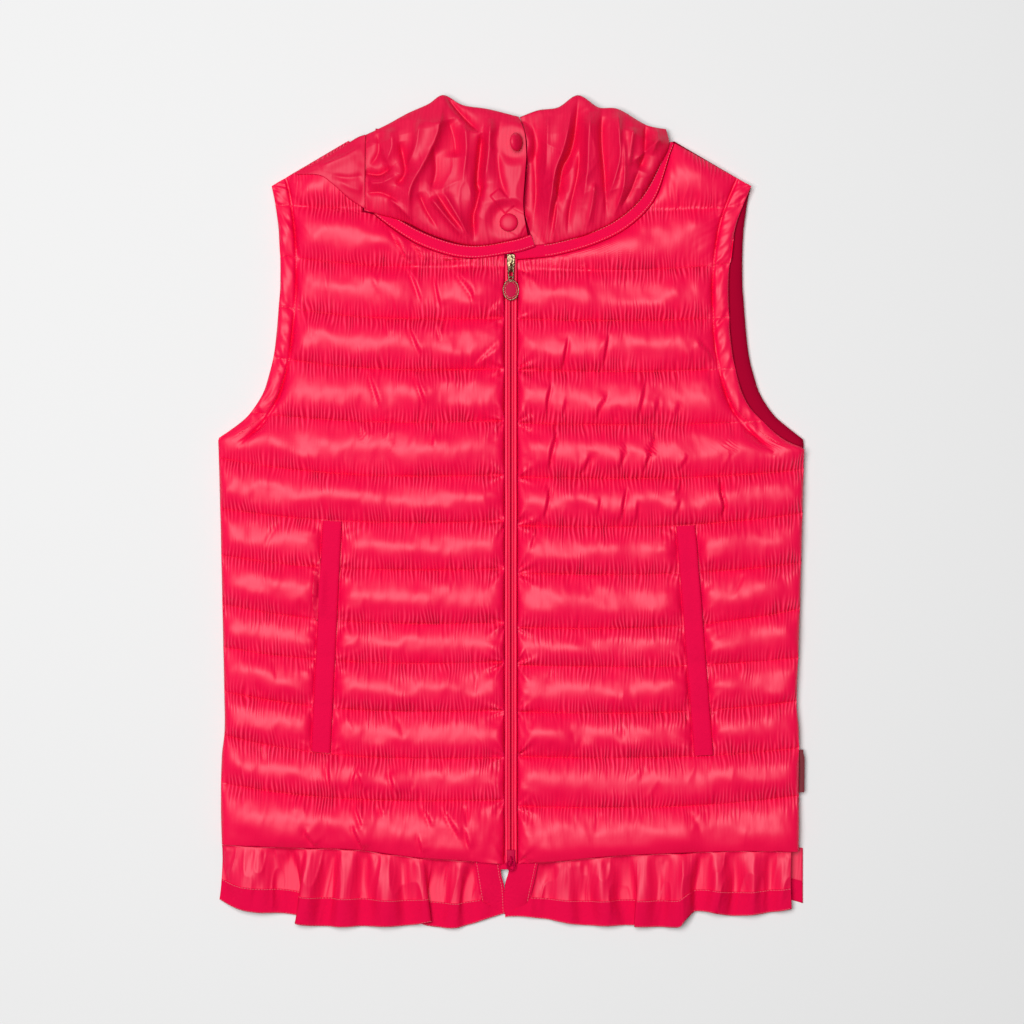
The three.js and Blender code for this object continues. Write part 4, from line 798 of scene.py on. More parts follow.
def hoodHalf(name, low, top, leftSide, rightSide, leftRise, rightRise, folds, seed):
    u, v, plan = hoodPlan(low, top, leftSide, rightSide)
    x, y = plan[..., 0], plan[..., 1]
    fromLow = np.sqrt(np.minimum(1, v / 0.3))
    fromTop = np.sqrt(np.minimum(1, (1 - v) / 0.2))
    fromLeft = mix(leftRise, 1, 1 - np.exp(-u / (0.16 if leftRise < 0.4 else 0.08)))
    fromRight = mix(rightRise, 1, 1 - np.exp(-(1 - u) / 0.08))
    body = (0.25 + 0.75 * fromLow) * (0.3 + 0.7 * fromTop) * fromLeft * fromRight
    lift = hood["rise"] * body + 1.35 * creased(x, y, folds, 16, 1.2) * np.minimum(1, body * 1.3)
    # the folds fan out a little towards the sides
    turn = x / 60.0 * 0.35
    across = x * np.cos(turn) - y * np.sin(turn) * 0.3
    swayed = across + 5 * lumps(seed + 5, x / 30, y / 26)
    lift -= 2.6 * body * (np.abs(lumps(seed, swayed / 13 + y / 70, y / 40 - swayed / 34)) ** 0.8 - 0.3)
    lift -= 1.3 * body * (np.abs(lumps(seed + 1, swayed / 6.5 - y / 60, y / 30 + swayed / 26)) - 0.3)
    gather = np.exp(-v / 0.09) + 0.6 * np.exp(-(1 - v) / 0.06)
    width = abs(low[-1][0] - low[0][0])
    lift += 0.9 * gather * lumps(seed + 3, u * width / 3.4, v * 2.5)
    for snap in snaps.values():
        near = smooth(np.hypot(x - snap["at"][0], y - snap["at"][1]), 11, 21)
        lift = mix(snap["bed"], lift, near)
    lift = lift + sewnTab(x, y, snaps["lower"])
    points = stacked(x, y, frontBase + np.maximum(lift, hood["least"]))
    # the cut edges turn down towards what they lie on
    points[0, :, 2] = frontBase + 2.7
    points[-1, :, 2] = frontBase + 0.8
    bm = gridFrom(points)
    obj = meshObject(name + "_cloth", bm, hoodLook)
    addAttribute(obj, "pucker", 0.25 + 0.6 * np.broadcast_to(np.clip(gather, 0, 1), x.shape))
    thicken(obj, hood["thick"])
    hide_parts(name)
    return obj


hoodLeft = hoodHalf("hood_left", hoodLeftLow, hoodLeftTop, hoodLeftSide, placket,
                    0.35, 0.85, foldsLeft, 71)
hoodRight = hoodHalf("hood_right", hoodRightLow, hoodRightTop, placketGap, hoodRightSide,
                     0.15, 0.35, foldsRight, 83)


def hoodBack():
    # folded layers under the heap, one rounded form
    u = np.linspace(0, 1, 120)[None, :]
    v = np.linspace(0, 1, 32)[:, None]
    x = mix(-112.0, 112.0, u)
    low = backNeckY(x) + tapeWidth + seamGap
    top = np.minimum(readTable(hoodLeftTop + hoodRightTop[1:], x) - 3, 340)
    y = mix(low, np.maximum(top, low + 4), v)
    fromRim = np.minimum(np.minimum(u, 1 - u) * 224 / 7, np.minimum(v, 1 - v) * (top - low) / 5)
    roll = np.sqrt(1 - (1 - np.clip(fromRim, 0, 1)) ** 2)
    folds = 0.8 * lumps(91, x / 9, y / 20) + 0.4 * lumps(92, x / 4, y / 9)
    above = 4 + (3.4 + 0.5 * folds) * roll
    below = 4 - 4 * roll
    bm, _ = gridPair(x, y, above, below)
    bmesh.ops.remove_doubles(bm, verts=bm.verts, dist=1e-6)
    obj = meshObject("hood_back_cloth", bm, hoodLook)
    addAttribute(obj, "pucker", np.full(len(obj.data.vertices), 0.3))
    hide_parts("hood_back")
    return obj


hoodBack()

wingTop = [(-176.4, 279.0), (-157, 288.6), (-140.6, 298.5), (-128.0, 307.0), (-120.0, 310.0)]
wingLow = [(-176.2, 277.6), (-158, 276.4), (-146, 268.6), (-133, 257.2), (-120.5, 249.4)]


def hoodWing():
    u = np.linspace(0, 1, 84)[None, :]
    v = np.linspace(0, 1, 60)[:, None]
    plan = mix(onCurve(wingLow, u), onCurve(wingTop, u), v[..., None])
    x, y = plan[..., 0], plan[..., 1]
    inside = np.minimum(y, shoulderY(x) - 1)
    bed = frontHeight(leftFront, x, inside)[0]
    for shift in ((6, 0), (-6, 0), (0, 6), (0, -6)):
        around = np.minimum(y + shift[1], shoulderY(x + shift[0]) - 1)
        bed = np.maximum(bed, frontHeight(leftFront, x + shift[0], around)[0])
    for _ in range(12):
        bed[1:-1] = (bed[:-2] + bed[1:-1] + bed[2:]) / 3
        bed[:, 1:-1] = (bed[:, :-2] + bed[:, 1:-1] + bed[:, 2:]) / 3
    lie = np.sqrt(np.minimum(1, np.minimum(v, 1 - v) / 0.3)) * np.minimum(1, u / 0.15)
    folds = [([(-122, 300), (-140, 290), (-158, 282)], 2.0, 4.0, 0.3),
             ([(-121, 276), (-134, 274), (-148, 276)], -1.8, 3.0, 0.2),
             ([(-122, 264), (-132, 266), (-142, 272)], 1.6, 3.0, 0.0)]
    z = bed + 0.8 + 2.4 * lie * u * smooth(u, 1.08, 0.75) + creased(x, y, folds) * lie
    z += 0.5 * lie * lumps(97, x / 14 + y / 30, y / 8)
    obj = meshObject("hood_wing_left_cloth", gridFrom(stacked(x, y, z)), hoodLook)
    addAttribute(obj, "pucker", np.full(x.shape, 0.2))
    thicken(obj, 0.5)
    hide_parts("hood_wing_left")


hoodWing()
print("hood")


# Covered snap caps: a turned dome with the cloth gathered under its edge

def turnedShape(profile, segments):
    bm = bmesh.new()
    line = [bm.verts.new((r * mm, 0, z * mm)) for r, z in profile]
    edges = [bm.edges.new(pair) for pair in zip(line[:-1], line[1:])]
    bmesh.ops.spin(bm, geom=line + edges, cent=(0, 0, 0), axis=(0, 0, 1), angle=2 * math.pi,
                   steps=segments, use_merge=True)
    bmesh.ops.remove_doubles(bm, verts=bm.verts, dist=1e-6)
    return bm


capProfile = [(0, 0), (6.4, 0), (7.2, 0.5), (7.5, 1.2), (7.4, 2.0), (7.0, 2.8), (6.2, 3.5), (4.6, 4.1),
              (2.4, 4.45), (0, 4.5)]
for name, snap in snaps.items():
    bm = turnedShape(capProfile, 48)
    for vert in bm.verts:
        radius, angle = math.hypot(vert.co.x, vert.co.y), math.atan2(vert.co.y, vert.co.x)
        ripple = 0.012 * math.sin(angle * 17) * smooth(radius, 4 * mm, 7 * mm)
        vert.co.x *= 1 + ripple
        vert.co.y *= 1 + ripple
    rise = frontBase + snap["bed"] + seamGap + 7.5 * math.sin(snap["tilt"])
    place = Matrix.Translation(Vector((*snap["at"], rise)) * mm) @ Matrix.Rotation(snap["tilt"], 4, "Y")
    bm.transform(place)
    cap = meshObject("snap_cap_" + name + "_covered", bm, hoodLook)
    addAttribute(cap, "pucker", np.full(len(cap.data.vertices), 0.15))
    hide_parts("snap_cap_" + name)
print("snaps")

# Welts of the pockets, and the facing that shows at the left one

def bedUnder(front, x, y):
    low = frontHeight(front, x, y)[0].max(1)
    kernel = np.ones(9) / 9
    padded = np.concatenate([np.full(4, low[0]), low, np.full(4, low[-1])])
    return np.convolve(padded, kernel, "valid")


def pocketWelt(front, name):
    side = front["side"]
    steps = np.linspace(0, 1, 190)[:, None]
    across = np.linspace(0.3, fronts["weltWidth"] - 0.3, 12)[None, :]
    lowY, highY = front["lines"][1][0], front["lines"][6][0]
    middle = mix(lowY, highY, steps)
    x = weltX(front, middle) + across
    y = mix(quiltY(front, 1, x) + 0.6, quiltY(front, 6, x) - 0.6, steps)
    z = np.broadcast_to(bedUnder(front, x, y)[:, None], x.shape) + 0.2
    if side < 0:
        gape = smooth(y, -94, -68) * smooth(y, -34, -58) * smooth(across, 9, 0)
        z = z + 2.4 * gape
    else:
        z = z + 1.4 * smooth(y, -110, -80) * smooth(y, -12, -30) * smooth(across, 8, 16)
    points = stacked(x, y, z)
    obj = strip(name + "_ribbed", points, ribbedLook, 1.9, lengthAlong(points[:, 6]), name, 0.35)


pocketWelt(leftFront, "welt_left")
pocketWelt(rightFront, "welt_right")


def pocketFacing():
    y = np.linspace(-89.0, -38.0, 50)[:, None]
    width = 4.4 * np.sqrt(np.clip(1 - ((y + 63.5) / 26.0) ** 2, 0.02, 1))
    x = weltX(leftFront, y) - 0.6 - width * np.linspace(1, -0.3, 8)[None, :]
    z = frontHeight(leftFront, x, y + 0 * x)[0] + 0.35 + 1.4 * np.linspace(0, 1, 8)[None, :]
    obj = meshObject("pocket_facing_left_cloth", gridFrom(stacked(x, y + 0 * x, z)), hoodLook)
    addAttribute(obj, "pucker", np.zeros(x.shape))
    thicken(obj, 0.4)
    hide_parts("pocket_facing_left")


pocketFacing()
print("pockets")

# Zip: tapes with piping, coil, two sliders, and their pulls

def tube(points, radius, sides=10, across=None, wide=1.0):
    # a round wire along the points; across is given where they rise too steeply to work it out
    points = np.asarray(points, float)
    ahead = np.gradient(points, axis=0)
    ahead /= np.linalg.norm(ahead, axis=1, keepdims=True)
    if across is None:
        across = np.cross(ahead, np.array([0.0, 0.0, 1.0]))
        across /= np.linalg.norm(across, axis=1, keepdims=True)
    else:
        across = np.broadcast_to(np.array(across, float), points.shape)
    over = np.cross(across, ahead)
    turn = np.linspace(0, 2 * np.pi, sides + 1)[None, :, None]
    around = wide * np.cos(turn) * across[:, None] + np.sin(turn) * over[:, None]
    bm = gridFrom(points[:, None] + radius * around)
    bmesh.ops.remove_doubles(bm, verts=bm.verts, dist=1e-6)
    ends = [edge for edge in bm.edges if edge.is_boundary]
    bmesh.ops.holes_fill(bm, edges=ends, sides=sides)
    return bm


def joinedMesh(parts):
    whole = bmesh.new()
    for part in parts:
        scratch = bpy.data.meshes.new("scratch")
        part.to_mesh(scratch)
        part.free()
        whole.from_mesh(scratch)
        bpy.data.meshes.remove(scratch)
    return whole


zipX = -0.5
zipTop, zipBottom = 209.2, -289.0
tapeTop = frontBase + 1.6
coilTop = frontBase + 4.1
zipY = np.linspace(zipBottom + 0.3, zipTop - 0.3, 380)


def zipTape(name, outer, inner):
    sign = np.sign(inner - outer)
    sway = 0.12 * lumps(101, zipY / 30)
    x = np.linspace(min(outer, inner), max(outer, inner), 7)[None, :] + 0 * zipY[:, None]
    flatY = mix(-293.4, zipTop - 0.3, np.linspace(0, 1, len(zipY)))[:, None]
    if outer < inner:
        # the left tape widens at its foot, under the hem band
        x = x - 3.6 * smooth(flatY, -282, -288) * np.linspace(1, 0, 7)
    plan = stacked(x, flatY + 0 * x, frontBase + 0.2 - 0.8 * smooth(flatY, -287, -290) + 0 * x)
    flat = strip("scratch", plan, ribbedLook, 1.2, zipY, crown=0)
    parts = [bmesh.new()]
    parts[0].from_mesh(flat.data)
    bpy.data.objects.remove(flat)
    pipe = stacked(outer + sign * 1.7 + sway, zipY, tapeTop + 0.3 + 0.15 * lumps(102, zipY / 9))
    parts.append(tube(pipe, 1.45, 12))
    obj = meshObject(name + "_piped", joinedMesh(parts), ribbedLook)
    obj.data.materials.append(ruffleLook)
    for face in obj.data.polygons:
        piping = abs(face.center.x - zipX * mm) > 2.2 * mm and face.center.z > (frontBase + 1.5) * mm
        face.material_index = int(piping)
    places = np.zeros(len(obj.data.vertices) * 3)
    obj.data.vertices.foreach_get("co", places)
    addAttribute(obj, "rib", places[1::3] / mm)
    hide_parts(name)


zipTape("zip_tape_left", -5.9, zipX - 0.15)
zipTape("zip_tape_right", 4.9, zipX + 0.15)


def coil():
    # the coil of each side, seen from its smooth face: two close ridges with a fine rib at every turn
    y = np.linspace(zipBottom + 0.8, zipTop - 0.8, 1250)
    radius = 1.2 * (1 + 0.06 * np.sin(2 * np.pi * y / 1.35))
    ridges = [stacked(zipX + side * 1.4, y, tapeTop + 0.75 + 0 * y) for side in (-1, 1)]
    sides = [tube(ridge, radius[:, None, None], 8) for ridge in ridges]
    obj = meshObject("zip_coil_teeth", joinedMesh(sides), coilLook)
    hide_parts("zip_coil")


coil()


def box(centre, size, bevel=0.0, taper=0.0):
    bm = bmesh.new()
    bmesh.ops.create_cube(bm, size=1)
    for vert in bm.verts:
        narrow = 1 - taper * (0.5 - vert.co.y)
        vert.co = Vector((vert.co.x * size[0] * narrow, vert.co.y * size[1], vert.co.z * size[2])) * mm
        vert.co += Vector(centre) * mm
    if bevel:
        bmesh.ops.bevel(bm, geom=bm.edges[:], offset=bevel * mm, segments=3, profile=0.5, affect="EDGES",
                        material=-1)
    return bm


def slider(name, centreY, length, pivotY, look):
    plateTop = coilTop + seamGap + 1.4
    parts = [box((zipX, centreY, plateTop - 0.75), (7.0, length, 1.5), 0.55, 0.28)]
    for side in (-1, 1):
        cheek = (zipX + side * 2.5, centreY + length * 0.18, plateTop - 1.15)
        parts.append(box(cheek, (1.5, length * 0.62, 1.9), 0.5))
    arch = [(zipX, pivotY + 3.1 * math.cos(a), plateTop - 0.2 + 3.4 * math.sin(a))
            for a in np.linspace(0, math.pi, 22)]
    parts.append(tube(arch, 0.75, across=(1, 0, 0), wide=1.2))
    obj = meshObject(name + "_body", joinedMesh(parts), look, sharp=50)
    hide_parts(name)


pullPivotY, loopPivotY = 201.0, -285.5
slider("zip_slider", 204.6, 14.8, pullPivotY, goldLook)
slider("zip_slider_lower", -283.4, 13.0, loopPivotY, lacquerLook)

pivotZ = coilTop + 3.0
pendantLow = coilTop + 2.0
pendant = {"x": 6.8, "y": 8.7, "centreY": 182.6, "rim": 0.62}


def ovalRing(a, b, height, radius, centreY, sides=10, count=72):
    turn = np.linspace(0, 2 * np.pi, count + 1)
    ring = stacked(zipX + a * np.cos(turn), centreY + b * np.sin(turn), height + 0 * turn)
    outward = stacked(np.cos(turn) * b, np.sin(turn) * a, 0 * turn)
    outward /= np.linalg.norm(outward, axis=1, keepdims=True)
    angle = np.linspace(0, 2 * np.pi, sides + 1)[None, :, None]
    up = np.array([0.0, 0.0, 1.0])
    bm = gridFrom(ring[:, None] + radius * (np.cos(angle) * outward[:, None] + np.sin(angle) * up))
    bmesh.ops.remove_doubles(bm, verts=bm.verts, dist=1e-6)
    return bm


def zipPull():
    # plain oval drop with a raised rim and a domed middle, hung on a folded link
    profile = [(0, 0.2), (0.88, 0.2), (0.95, 0.45), (0.95, 1.1), (0.86, 1.32), (0.5, 1.55), (0, 1.62)]
    enamel = turnedShape(profile, 64)
    for vert in enamel.verts:
        vert.co = Vector((vert.co.x * pendant["x"], vert.co.y * pendant["y"], vert.co.z))
        vert.co += Vector((zipX, pendant["centreY"], pendantLow)) * mm
    drop = meshObject("zip_pull_enamel", enamel, lacquerLook, sharp=50)
    metal = [ovalRing(pendant["x"] - 0.6, pendant["y"] - 0.6, pendantLow + 0.9, 0.6, pendant["centreY"]),
             ovalRing(pendant["x"] - 2.1, pendant["y"] - 2.2, pendantLow + 1.32, 0.22, pendant["centreY"])]
    bar = [(zipX - 2.6, pullPivotY, pivotZ), (zipX + 2.6, pullPivotY, pivotZ)]
    metal.append(tube(bar, 0.65, 12))
    for side in (-1, 1):
        leg = [(zipX + side * 2.1, 201.4, pivotZ), (zipX + side * 2.1, 197.0, pivotZ - 0.1),
               (zipX + side * 1.9, 193.2, pendantLow + 1.5), (zipX + side * 1.5, 189.6, pendantLow + 1.3)]
        metal.append(tube(onCurve(leg, np.linspace(0, 1, 24)), 0.6, 10))
    metal.append(ovalRing(1.7, 1.9, pendantLow + 1.5, 0.55, 191.4, 8, 40))
    frameMetal = meshObject("zip_pull_metal", joinedMesh(metal), goldLook, sharp=60)
    for obj, slotName in ((drop, "red_lacquer"), (frameMetal, "pale_gold")):
        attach(obj, "pull")
    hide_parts("zip_pull")


def lowerLoop():
    parts = [tube([(zipX - 2.6, loopPivotY, pivotZ), (zipX + 2.6, loopPivotY, pivotZ)], 0.65, 12)]
    turn = np.linspace(-0.62, np.pi + 0.62, 40)
    hangs = 0.9 * np.clip(np.sin(turn), 0, 1)
    ring = stacked(zipX - 3.2 * np.cos(turn), -288.6 - 5.2 * np.sin(turn), pivotZ - hangs)
    parts.append(tube(ring, 0.62, 10))
    obj = meshObject("zip_loop_lower_wire", joinedMesh(parts), lacquerLook, sharp=60)
    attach(obj, "loop")
    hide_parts("zip_loop_lower")


zipPull()
lowerLoop()
print("zip")

# Ruffle at the hem. Each front half is drawn by its lower edge, which doubles back where a flounce
# folds over the next; the cloth runs from the hem down to it.

bandHeight = 18.0
leftEdge = [
    (-240.6, -318.6, 2.5), (-232, -323.2, 6.5), (-222, -327.0, 9.5), (-209, -329.0, 10.5),
    (-199, -329.3, 8.5), (-191, -329.6, 5.5), (-183, -330.6, 3.0), (-174, -332.4, 2.0),
    (-170.5, -334.8, 2.6), (-173.5, -336.6, 5.0), (-178.0, -337.2, 7.5), (-176.5, -338.6, 10.0),
    (-168, -339.7, 9.5), (-159, -340.4, 5.0), (-151, -340.6, 4.5), (-143, -340.8, 10.0),
    (-134, -340.8, 9.0), (-124, -340.6, 4.0), (-115, -340.6, 6.5), (-106, -340.5, 10.5),
    (-96, -340.4, 9.0), (-87, -339.9, 5.5), (-78, -338.8, 8.0), (-70, -337.2, 10.5),
    (-66.0, -336.6, 9.0), (-67.5, -337.6, 6.0), (-73, -339.0, 3.2), (-69, -340.4, 2.0),
    (-61, -341.4, 3.0), (-53, -342.0, 7.0), (-45, -341.8, 7.5), (-38, -340.2, 3.2),
    (-31, -338.2, 3.8), (-25.8, -336.4, 4.6), (-18.5, -334.0, 4.4), (-12, -332.0, 3.8), (-5.2, -329.8, 3.4),
]
rightEdge = [
    (-4.0, -332.8, 3.6), (3, -332.5, 4.2), (9.5, -332.6, 5.4),
    (16.0, -333.2, 6.0), (23, -334.2, 4.0), (30, -335.0, 3.0), (40, -336.8, 7.0), (49, -338.4, 8.0),
    (58, -339.6, 4.5), (67, -340.0, 5.0), (76, -339.9, 9.5), (86, -339.8, 8.0), (94, -339.8, 4.0),
    (101.5, -340.0, 4.5), (105.5, -340.4, 7.5), (101.5, -340.6, 9.5), (110, -340.8, 9.0),
    (121, -341.0, 5.0), (131, -341.0, 8.5), (138.4, -340.2, 11.5), (141.0, -336.6, 13.0),
    (145.5, -331.6, 10.5), (150.5, -328.4, 5.0), (158, -328.2, 6.5), (165, -328.8, 10.5),
    (173, -330.6, 8.0), (181, -332.0, 4.0), (189, -331.6, 7.5), (198, -330.8, 10.0),
    (206, -330.0, 6.5), (213, -329.0, 4.5), (222, -327.6, 8.5), (230.4, -326.0, 8.0),
]
ruffle = {"columns": 340, "rows": 40, "thick": 0.35, "bandThick": 0.7, "mitre": 3}


def backEdgeY(x):
    return -322 + 33 * (1 - (x / 240) ** 2)


def ruffleSurface(edge, topFrom, topTo, seed, v, s):
    # rows from the hem at v 0 to the lower edge at v 1, columns at shares s of the edge's points
    low = onCurve(edge, s)
    fine = onCurve(edge, np.linspace(0, 1, 2000))
    run = lengthAlong(fine)
    length = np.interp(s, np.linspace(0, 1, 2000), run)
    topX = mix(topFrom, topTo, length / run[-1])
    top = stacked(topX, readTable(hemLine, topX) - 0.6, frontBase + 1.6)
    v = v[:, None] + 0 * s
    points = top + (low - top) * v[..., None] ** np.array([1.15, 1.0, 0.42])
    points[..., 2] += 0.75 * (low[..., 2] - 6.2) * np.sin(np.pi * np.clip(v, 0, 1)) ** 0.8
    gather = 1.3 * (1 - v) ** 2 * smooth(v, 0, 0.12) * lumps(seed, length / 6.5, v * 1.2)
    drape = 2.3 * np.sin(np.pi * v) * lumps(seed + 1, length / 17, v * 1.4)
    small = 0.22 * np.sin(np.pi * v) ** 0.5 * lumps(seed + 2, length / 7 + v * 3, v * 1.5)
    ridge = np.abs(lumps(seed + 6, length / 10 + v * 0.7, v * 1.3)) ** 0.8 - 0.3
    pinch = -2.1 * np.sin(np.pi * v) ** 0.6 * ridge
    height = points[..., 2] + gather + drape + small + pinch
    points[..., 2] = 3.2 + 0.5 * (height - 3.2 + np.sqrt((height - 3.2) ** 2 + 1.4))
    points[..., 0] += 1.2 * np.sin(np.pi * v) * lumps(seed + 3, length / 16, v * 2)
    return points, length


def frontRuffle(name, edge, topFrom, topTo, seed):
    share = 1 - (bandHeight + 1.2) / 55
    mitred = ruffle["mitre"] / (len(edge) - 1)
    count = np.linspace(0, 1, ruffle["columns"])[None, :]

    def columns(v):
        # shares of the edge that a row covers: the lower rows run on along the mitre
        cut = mitred * (1 - np.clip((v[:, None] - share) / (1 - share), 0, 1))
        return mix(0 * cut, 1 - cut, count) if name == "left" else mix(cut, 1 + 0 * cut, count)

    v = np.linspace(0, share, ruffle["rows"])
    cloth, length = ruffleSurface(edge, topFrom, topTo, seed, v, columns(v))
    obj = meshObject("ruffle_" + name + "_cloth", gridFrom(cloth[::-1]), ruffleLook)
    addAttribute(obj, "pucker", 0.35 * np.ones(cloth.shape[:2]))
    thicken(obj, ruffle["thick"])
    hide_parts("ruffle_" + name)
    v = np.linspace(share - 0.02, 1, 14)
    band, length = ruffleSurface(edge, topFrom, topTo, seed, v, columns(v))
    band[..., 2] += 0.45
    ribbed = meshObject("hem_band_" + name + "_ribbed", gridFrom(band[::-1]), ribbedLook)
    addAttribute(ribbed, "rib", length[::-1])
    thicken(ribbed, ruffle["bandThick"], 1)
    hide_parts("hem_band_" + name)
    seamPaths.append(band[0] + np.array([0, -0.6, 0.85]))
    seamPaths.append(band[-1] + np.array([0, 0.7, 0.85]))
    return obj, ribbed


seamPaths = []
ruffleLeft, bandLeft = frontRuffle("left", leftEdge, -238.0, -7.0, 121)
ruffleRight, bandRight = frontRuffle("right", rightEdge, -1.0, 230.0, 137)


def endBand(name, corners, seed):
    # upright band at the centre front, mitred into the hem band; both edges are drawn from the top down
    s = np.linspace(0, 1, 70)[:, None, None]
    across = np.linspace(0, 1, 12)[None, :, None]
    left = onCurve(corners["left"], s[:, 0, 0])[:, None, :]
    right = onCurve(corners["right"], s[:, 0, 0])[:, None, :]
    plan = mix(left, right, across)
    plan[..., 2] += 0.35 * lumps(seed, plan[..., 0] / 9, plan[..., 1] / 12)
    obj = strip(name + "_ribbed", plan, ribbedLook, 1.1, lengthAlong(plan[:, 5]), name, 0.2)
    outer = plan[:, 1 if name.endswith("left") else -2]
    seamPaths.append(outer + np.array([0, 0, 1.35]))
    if name.endswith("left"):
        seamPaths.append(plan[:, -2] + np.array([0, 0, 1.35]))
    return obj


endLeft = endBand("end_band_left", {
    "left": [(-30.8, -286.2, 9.2), (-28.6, -300.0, 7.6), (-26.6, -313.5, 5.6), (-25.0, -321.8, 3.6)],
    "right": [(-9.6, -289.2, 9.0), (-8.2, -299.0, 7.4), (-6.0, -309.0, 6.0), (-5.0, -331.2, 2.4)]}, 151)
endRight = endBand("end_band_right", {
    "left": [(-1.6, -288.9, 9.0), (-2.8, -297.0, 7.6), (-5.6, -308.5, 5.8), (-5.2, -333.6, 2.4)],
    "right": [(22.1, -287.2, 9.2), (19.4, -300.0, 7.8), (16.8, -312.0, 6.0), (14.6, -320.4, 4.2)]}, 157)


def backRuffle():
    u = np.linspace(0, 1, 320)[None, :]
    x = mix(-235.0, 240.2, u)

    def surface(v):
        top, low = backHemY(x) - 0.6, backEdgeY(x)
        y = mix(top, low, v)
        depth = 0.75 + 0.25 * lumps(161, x / 40)
        wave = 0.5 + depth * (1 + np.cos(2 * np.pi * x / 31 + 0.7 * lumps(162, x / 24)))
        fine = 0.35 * np.sin(np.pi * np.clip(v, 0, 1)) * lumps(163, x / 4, v * 2)
        z = wave * (0.3 + 0.7 * v) + 0.8 * (1 - v) + fine
        return stacked(x + 0 * y, y, np.maximum(z, 0.4))

    cloth = surface(np.linspace(0, 0.62, 22)[:, None])
    obj = meshObject("ruffle_back_cloth", gridFrom(cloth[::-1]), ruffleLook)
    addAttribute(obj, "pucker", 0.35 * np.ones(cloth.shape[:2]))
    thicken(obj, ruffle["thick"])
    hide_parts("ruffle_back")
    band = surface(np.linspace(0.60, 1, 14)[:, None])
    band[..., 2] += 0.3
    ribbed = meshObject("hem_band_back_ribbed", gridFrom(band[::-1]), ribbedLook)
    addAttribute(ribbed, "rib", np.broadcast_to(x * 1.15, band.shape[:2]))
    thicken(ribbed, ruffle["bandThick"], 1)
    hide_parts("hem_band_back")


backRuffle()
print("ruffles")

# Blank tab in the right side seam

tabY = np.linspace(-230, -195, 12)[:, None]
tabX = readTable(sideSeamRight, tabY) + 0.2 + np.linspace(0, 1, 5)[None, :] * np.where(tabY < -200, 4.4, 3.4)
tabPoints = stacked(tabX, tabY + 0 * tabX, 7.9 + 0 * tabX)
tab = strip("side_tab_woven", tabPoints, tabLook, 0.8, lengthAlong(tabPoints[:, 2]), "side_tab", 0.0)


# Stitches: short threads laid on a line

def stitching(name, paths, look, length=1.9, gap=0.9, radius=0.2):
    bm = bmesh.new()
    for path in paths:
        path = np.asarray(path, float)
        run = lengthAlong(path)
        for start in np.arange(gap, run[-1] - length, length + gap):
            a = np.array([np.interp(start, run, path[:, k]) for k in range(3)])
            b = np.array([np.interp(start + length, run, path[:, k]) for k in range(3)])
            middle, ahead = Vector((a + b) / 2) * mm, Vector(b - a)
            turn = ahead.to_track_quat("Z", "Y").to_matrix().to_4x4()
            bmesh.ops.create_cone(bm, segments=5, radius1=radius * mm, radius2=radius * mm, cap_ends=True,
                                  depth=length * mm, matrix=Matrix.Translation(middle) @ turn)
    return meshObject(name, bm, look)


def quiltingPaths(front):
    # along each quilting line, broken where the welt covers it, and along the band of the armhole
    paths = []
    for line in range(13):
        sideX = float(edgeX(front, front["lines"][line][1]))
        stop = front["zipX"] if line < 12 else float(neckline(front, np.array(fronts["neckTurn"]))[0])
        x = mix(sideX, stop, np.linspace(0, 1, 120))
        y = quiltY(front, line, x)
        z = frontHeight(front, x[None], y[None])[0][0] + 0.1
        shown = np.ones(len(x), bool)
        if 2 <= line <= 5:
            welt = weltX(front, y)
            shown = (x < welt - 1) | (x > welt + fronts["weltWidth"] + 1)
        breaks = np.where(np.diff(shown.astype(int)) != 0)[0] + 1
        for part in np.split(np.arange(len(x)), breaks):
            if shown[part[0]] and len(part) > 4:
                paths.append(stacked(x[part], y[part], z[part]))
    edge = onCurve([(ax, ay) for ay, ax in front["armhole"]], np.linspace(0, 1, 200))
    ahead = np.gradient(edge, axis=0)
    ahead /= np.linalg.norm(ahead, axis=1, keepdims=True)
    inward = np.array([-front["side"], 0])
    seam = edge + fronts["armholeBand"] * np.abs(ahead[:, 1:2]) ** 0.3 * inward
    z = frontHeight(front, seam[None, :, 0], seam[None, :, 1])[0][0] + 0.15
    paths.append(np.column_stack([seam, z])[8:-6])
    return paths


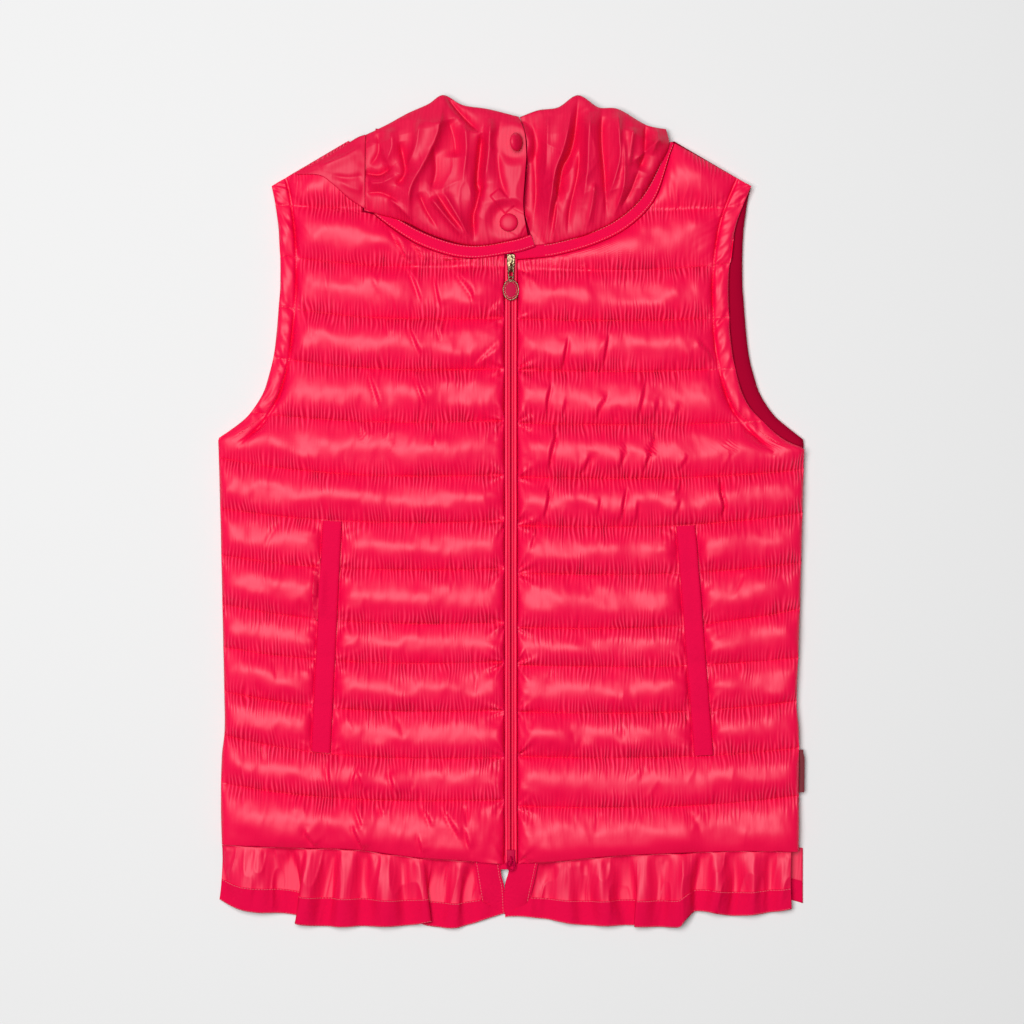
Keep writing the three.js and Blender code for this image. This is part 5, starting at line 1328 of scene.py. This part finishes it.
def tapeSeams(table, baseAt, start, outward):
    # two rows of stitches on a neck binding, drawn together where it narrows
    t = np.linspace(start, 1, 240)
    width = np.interp(t * (len(table) - 1), np.arange(len(table)), [row[2] for row in table])
    for inset in (-1.5, -9.6):
        reach = np.where(width > 10.7, inset, inset * width / tapeWidth)
        edge = np.array([tapeEdge(table, k, out, outward) for k, out in zip(t, reach)])
        seamPaths.append(np.column_stack([edge, baseAt(edge[:, 0]) + 2.62]))


tapeSeams(neckTapeLeft, leftTapeBase, 0.0, 1)
tapeSeams(neckTapeRight, rightTapeBase, 0.13, -1)
quiltPaths = quiltingPaths(leftFront) + quiltingPaths(rightFront)
stitching("quilting_stitches", quiltPaths, quiltThreadLook)
stitching("band_stitches", seamPaths, threadLook, 1.5, 0.9, 0.19)

# Floor, light and camera

bm = bmesh.new()
bmesh.ops.create_grid(bm, x_segments=1, y_segments=1, size=6)
floorMesh = bpy.data.meshes.new("floor")
bm.to_mesh(floorMesh)
bm.free()
floorMesh.materials.append(material("floor", (0.74, 0.74, 0.74), 0.9, IOR=1.0))
floor = bpy.data.objects.new("floor", floorMesh)
scene.collection.objects.link(floor)

world = bpy.data.worlds.new("studio")
world.use_nodes = True
world.node_tree.nodes["Background"].inputs[0].default_value = (1, 1, 1, 1)
world.node_tree.nodes["Background"].inputs[1].default_value = 0.085
scene.world = world


def areaLight(name, place, size, power):
    lamp = bpy.data.lights.new(name, "AREA")
    lamp.shape = "RECTANGLE"
    lamp.size, lamp.size_y = size
    lamp.energy = power
    obj = bpy.data.objects.new(name, lamp)
    direction = Vector((0, 0, 0)) - Vector(place)
    turn = direction.to_track_quat("-Z", "Y").to_matrix().to_4x4()
    obj.matrix_world = Matrix.Translation(place) @ turn
    obj.visible_camera = False
    scene.collection.objects.link(obj)


areaLight("softbox", (-0.55, 0.32, 3.1), (1.8, 1.6), 119)

cameraData = bpy.data.cameras.new("camera")
cameraData.lens = 110.8
cameraData.sensor_width = 36
cameraData.clip_end = 50
camera = bpy.data.objects.new("camera", cameraData)
camera.location = (0.00041, 0.00041, 2.6)
scene.collection.objects.link(camera)
scene.camera = camera

bpy.context.view_layer.update()
